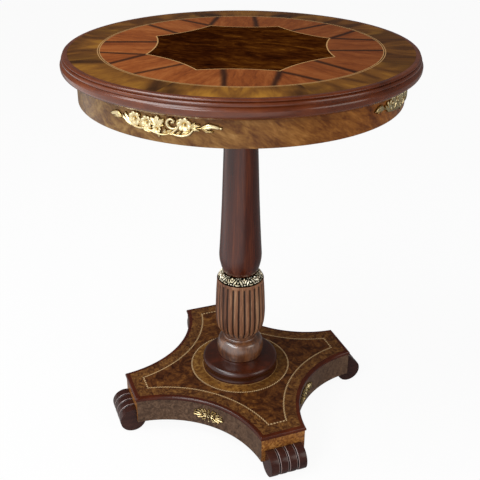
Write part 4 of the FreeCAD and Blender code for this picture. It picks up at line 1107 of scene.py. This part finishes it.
def white_floor():
    """A floor that shows as the white background, a little darker where the table shades it."""
    mesh = bmesh.new()
    bmesh.ops.create_grid(mesh, x_segments=1, y_segments=1, size=FLOOR_REACH)
    data = bpy.data.meshes.new("floor")
    mesh.to_mesh(data)
    mesh.free()
    put("floor", data)

    floor = Finish("floor_white", 0.9, 0.0)
    floor.shader.inputs["Base Color"].default_value = (0.92, 0.92, 0.92, 1)
    glow = floor.nodes.new("ShaderNodeEmission")
    x, y, _ = floor.split(floor.place)
    towards = floor.plus(floor.times(x, BRIGHT_SIDE[0]), floor.times(y, BRIGHT_SIDE[1]))
    seen, mirrored = floor.rays()
    level = floor.sum("MAXIMUM", seen, floor.fade(towards, *FLOOR_EDGES, FLOOR_DARK, 1.0))
    floor.feed(glow.inputs["Strength"], level)
    mix = floor.nodes.new("ShaderNodeMixShader")
    floor.feed(mix.inputs[0], floor.times(floor.sum("MAXIMUM", seen, mirrored), FLOOR_GLOW))
    floor.links.new(floor.shader.outputs[0], mix.inputs[1])
    floor.links.new(glow.outputs[0], mix.inputs[2])
    floor.links.new(mix.outputs[0], floor.nodes["Material Output"].inputs["Surface"])
    data.materials.append(floor.material)


bpy.context.scene.view_settings.view_transform = "Standard"
aim_camera()
white_world()
for light in LIGHTS:
    softbox(*light)
white_floor()

rim_stops = [(0.3, "3e1808"), (0.5, "642c10"), (0.7, "82421c")]
rim_polish = polished("rim_polish", rim_stops, 0.26, 0.45, coat=0.4, along=AROUND)
shaft_stops = [(0.34, "260903"), (0.5, "481806"), (0.66, "703210")]
shaft_wood = polished("shaft_mahogany", shaft_stops, 0.26, 0.45, coat=0.3, scale=80)
vase_stops = [(0.4, "482818"), (0.47, "744a33"), (0.54, "8e6043"), (0.62, "b28764")]
# The vase's grooves get a dark painted shade
vase_wood = polished("vase_wood", vase_stops, 0.4, 0.35, scale=160, hollow="26120a")
bun_stops = [(0.38, "381a0a"), (0.5, "60361a"), (0.62, "885630")]
bun_wood = polished("bun_wood", bun_stops, 0.4, 0.6, coat=1.0, along=BUN_GRAIN, scale=150)
bun_wood.node_tree.nodes["Principled BSDF"].inputs["Coat IOR"].default_value = BUN_COAT_IOR
disc_stops = [(0.3, "1c0702"), (0.5, "3c1504"), (0.7, "64280c")]
disc_wood = polished("disc_wood", disc_stops, 0.34, 0.25, coat=0.75, along=AROUND, scale=50)
moulding_stops = [(0.3, "2a0e05"), (0.5, "4c1c09"), (0.7, "6a3013")]
moulding_wood = polished("moulding_red", moulding_stops, 0.24, 0.2, coat=0.4, along=AROUND, scale=40)
foot_stops = [(0.3, "220e0b"), (0.5, "3a1d17"), (0.7, "522e24")]
# The feet's grooves get a dark painted shade and their edges a pale painted highlight
foot_wood = polished(
    "foot_wood", foot_stops, 0.25, 0.35, coat=0.1, along=AROUND, scale=50, hollow="0c0504", edge_highlight="b09a96"
)
side_burl = burl("side_burl", [(0.34, "35241a"), (0.5, "5e4636"), (0.66, "7e624c")], 70.0, 0.4, 0.2)
end_stops = [(0.34, "34180c"), (0.46, "7c4820"), (0.56, "b0763a"), (0.67, "d6a260")]
end_burr = burl("end_burr", end_stops, 95.0)
border_stops = [(0.34, "22100a"), (0.46, "4e2d18"), (0.57, "785028"), (0.7, "a87c42")]
border_burr = burl("border_burr", border_stops, 62.0, 0.3, 0.14)
# Each gilding's second colour is the painted shade of its hollows and its fourth the painted highlight of
# its raised parts
gold = gilding("gilt", "1c1408", "c0a05e", "f0dfb2", 3.6)
collar_gold = gilding("collar_gilt", "2a1e10", "dcc894", "fff8e2", 1.4)
# Near-black gilding for the collar's cone: painted shade behind the openwork
collar_shade_black = gilding("collar_shade_black", "0c0906", "16110b", "2a2115", 3.4)
softwood = bare_wood("carcass_wood")
steel = bare_steel("bare_steel")

turned("rim", RIM_OUTLINE, ["top_lipping"], "rim_mahogany", rim_polish, TOP_STEPS)
turned("apron", APRON_OUTLINE, ["apron_ring"], "apron_burl", apron_finish(), TOP_STEPS)
turned("shaft", SHAFT_OUTLINE, ["upper_shaft"], "shaft_mahogany", shaft_wood)
collar(collar_gold, collar_shade_black)
reeded_vase(vase_wood)
turned("bun", BUN_OUTLINE, ["column_bun"], "bun_wood", bun_wood)
turned("disc", DISC_OUTLINE, ["base_disc"], "disc_wood", disc_wood)
plinth_wall(side_burl, end_burr, softwood)
plinth_moulding(moulding_wood)
scroll_feet(foot_wood)
mounts("apron_mount", APRON_MOUNT, (), on_apron, gold)
mounts("plinth_mount", PLINTH_MOUNT_CORE, PLINTH_MOUNT_SIDE, on_plinth_side, gold)

CAD_FINISHES = {
    "star_veneer": star_finish(),
    "fan_axis_leaves": fan_finish("fan_axis", QUARTER, 0.0),
    "fan_corner_leaves": fan_finish("fan_corner", QUARTER, DIAGONAL),
    "fan_side_leaves": fan_finish("fan_side", DIAGONAL, DIAGONAL / 2),
    "crossband_veneers": crossband_finish(),
    "plinth_border_veneers": border_burr,
    "plinth_field_veneer": field_finish(),
    "tie_rod": steel,
}
for node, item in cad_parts.items():
    item.data.materials.clear()
    item.data.materials.append(CAD_FINISHES.get(node, softwood))
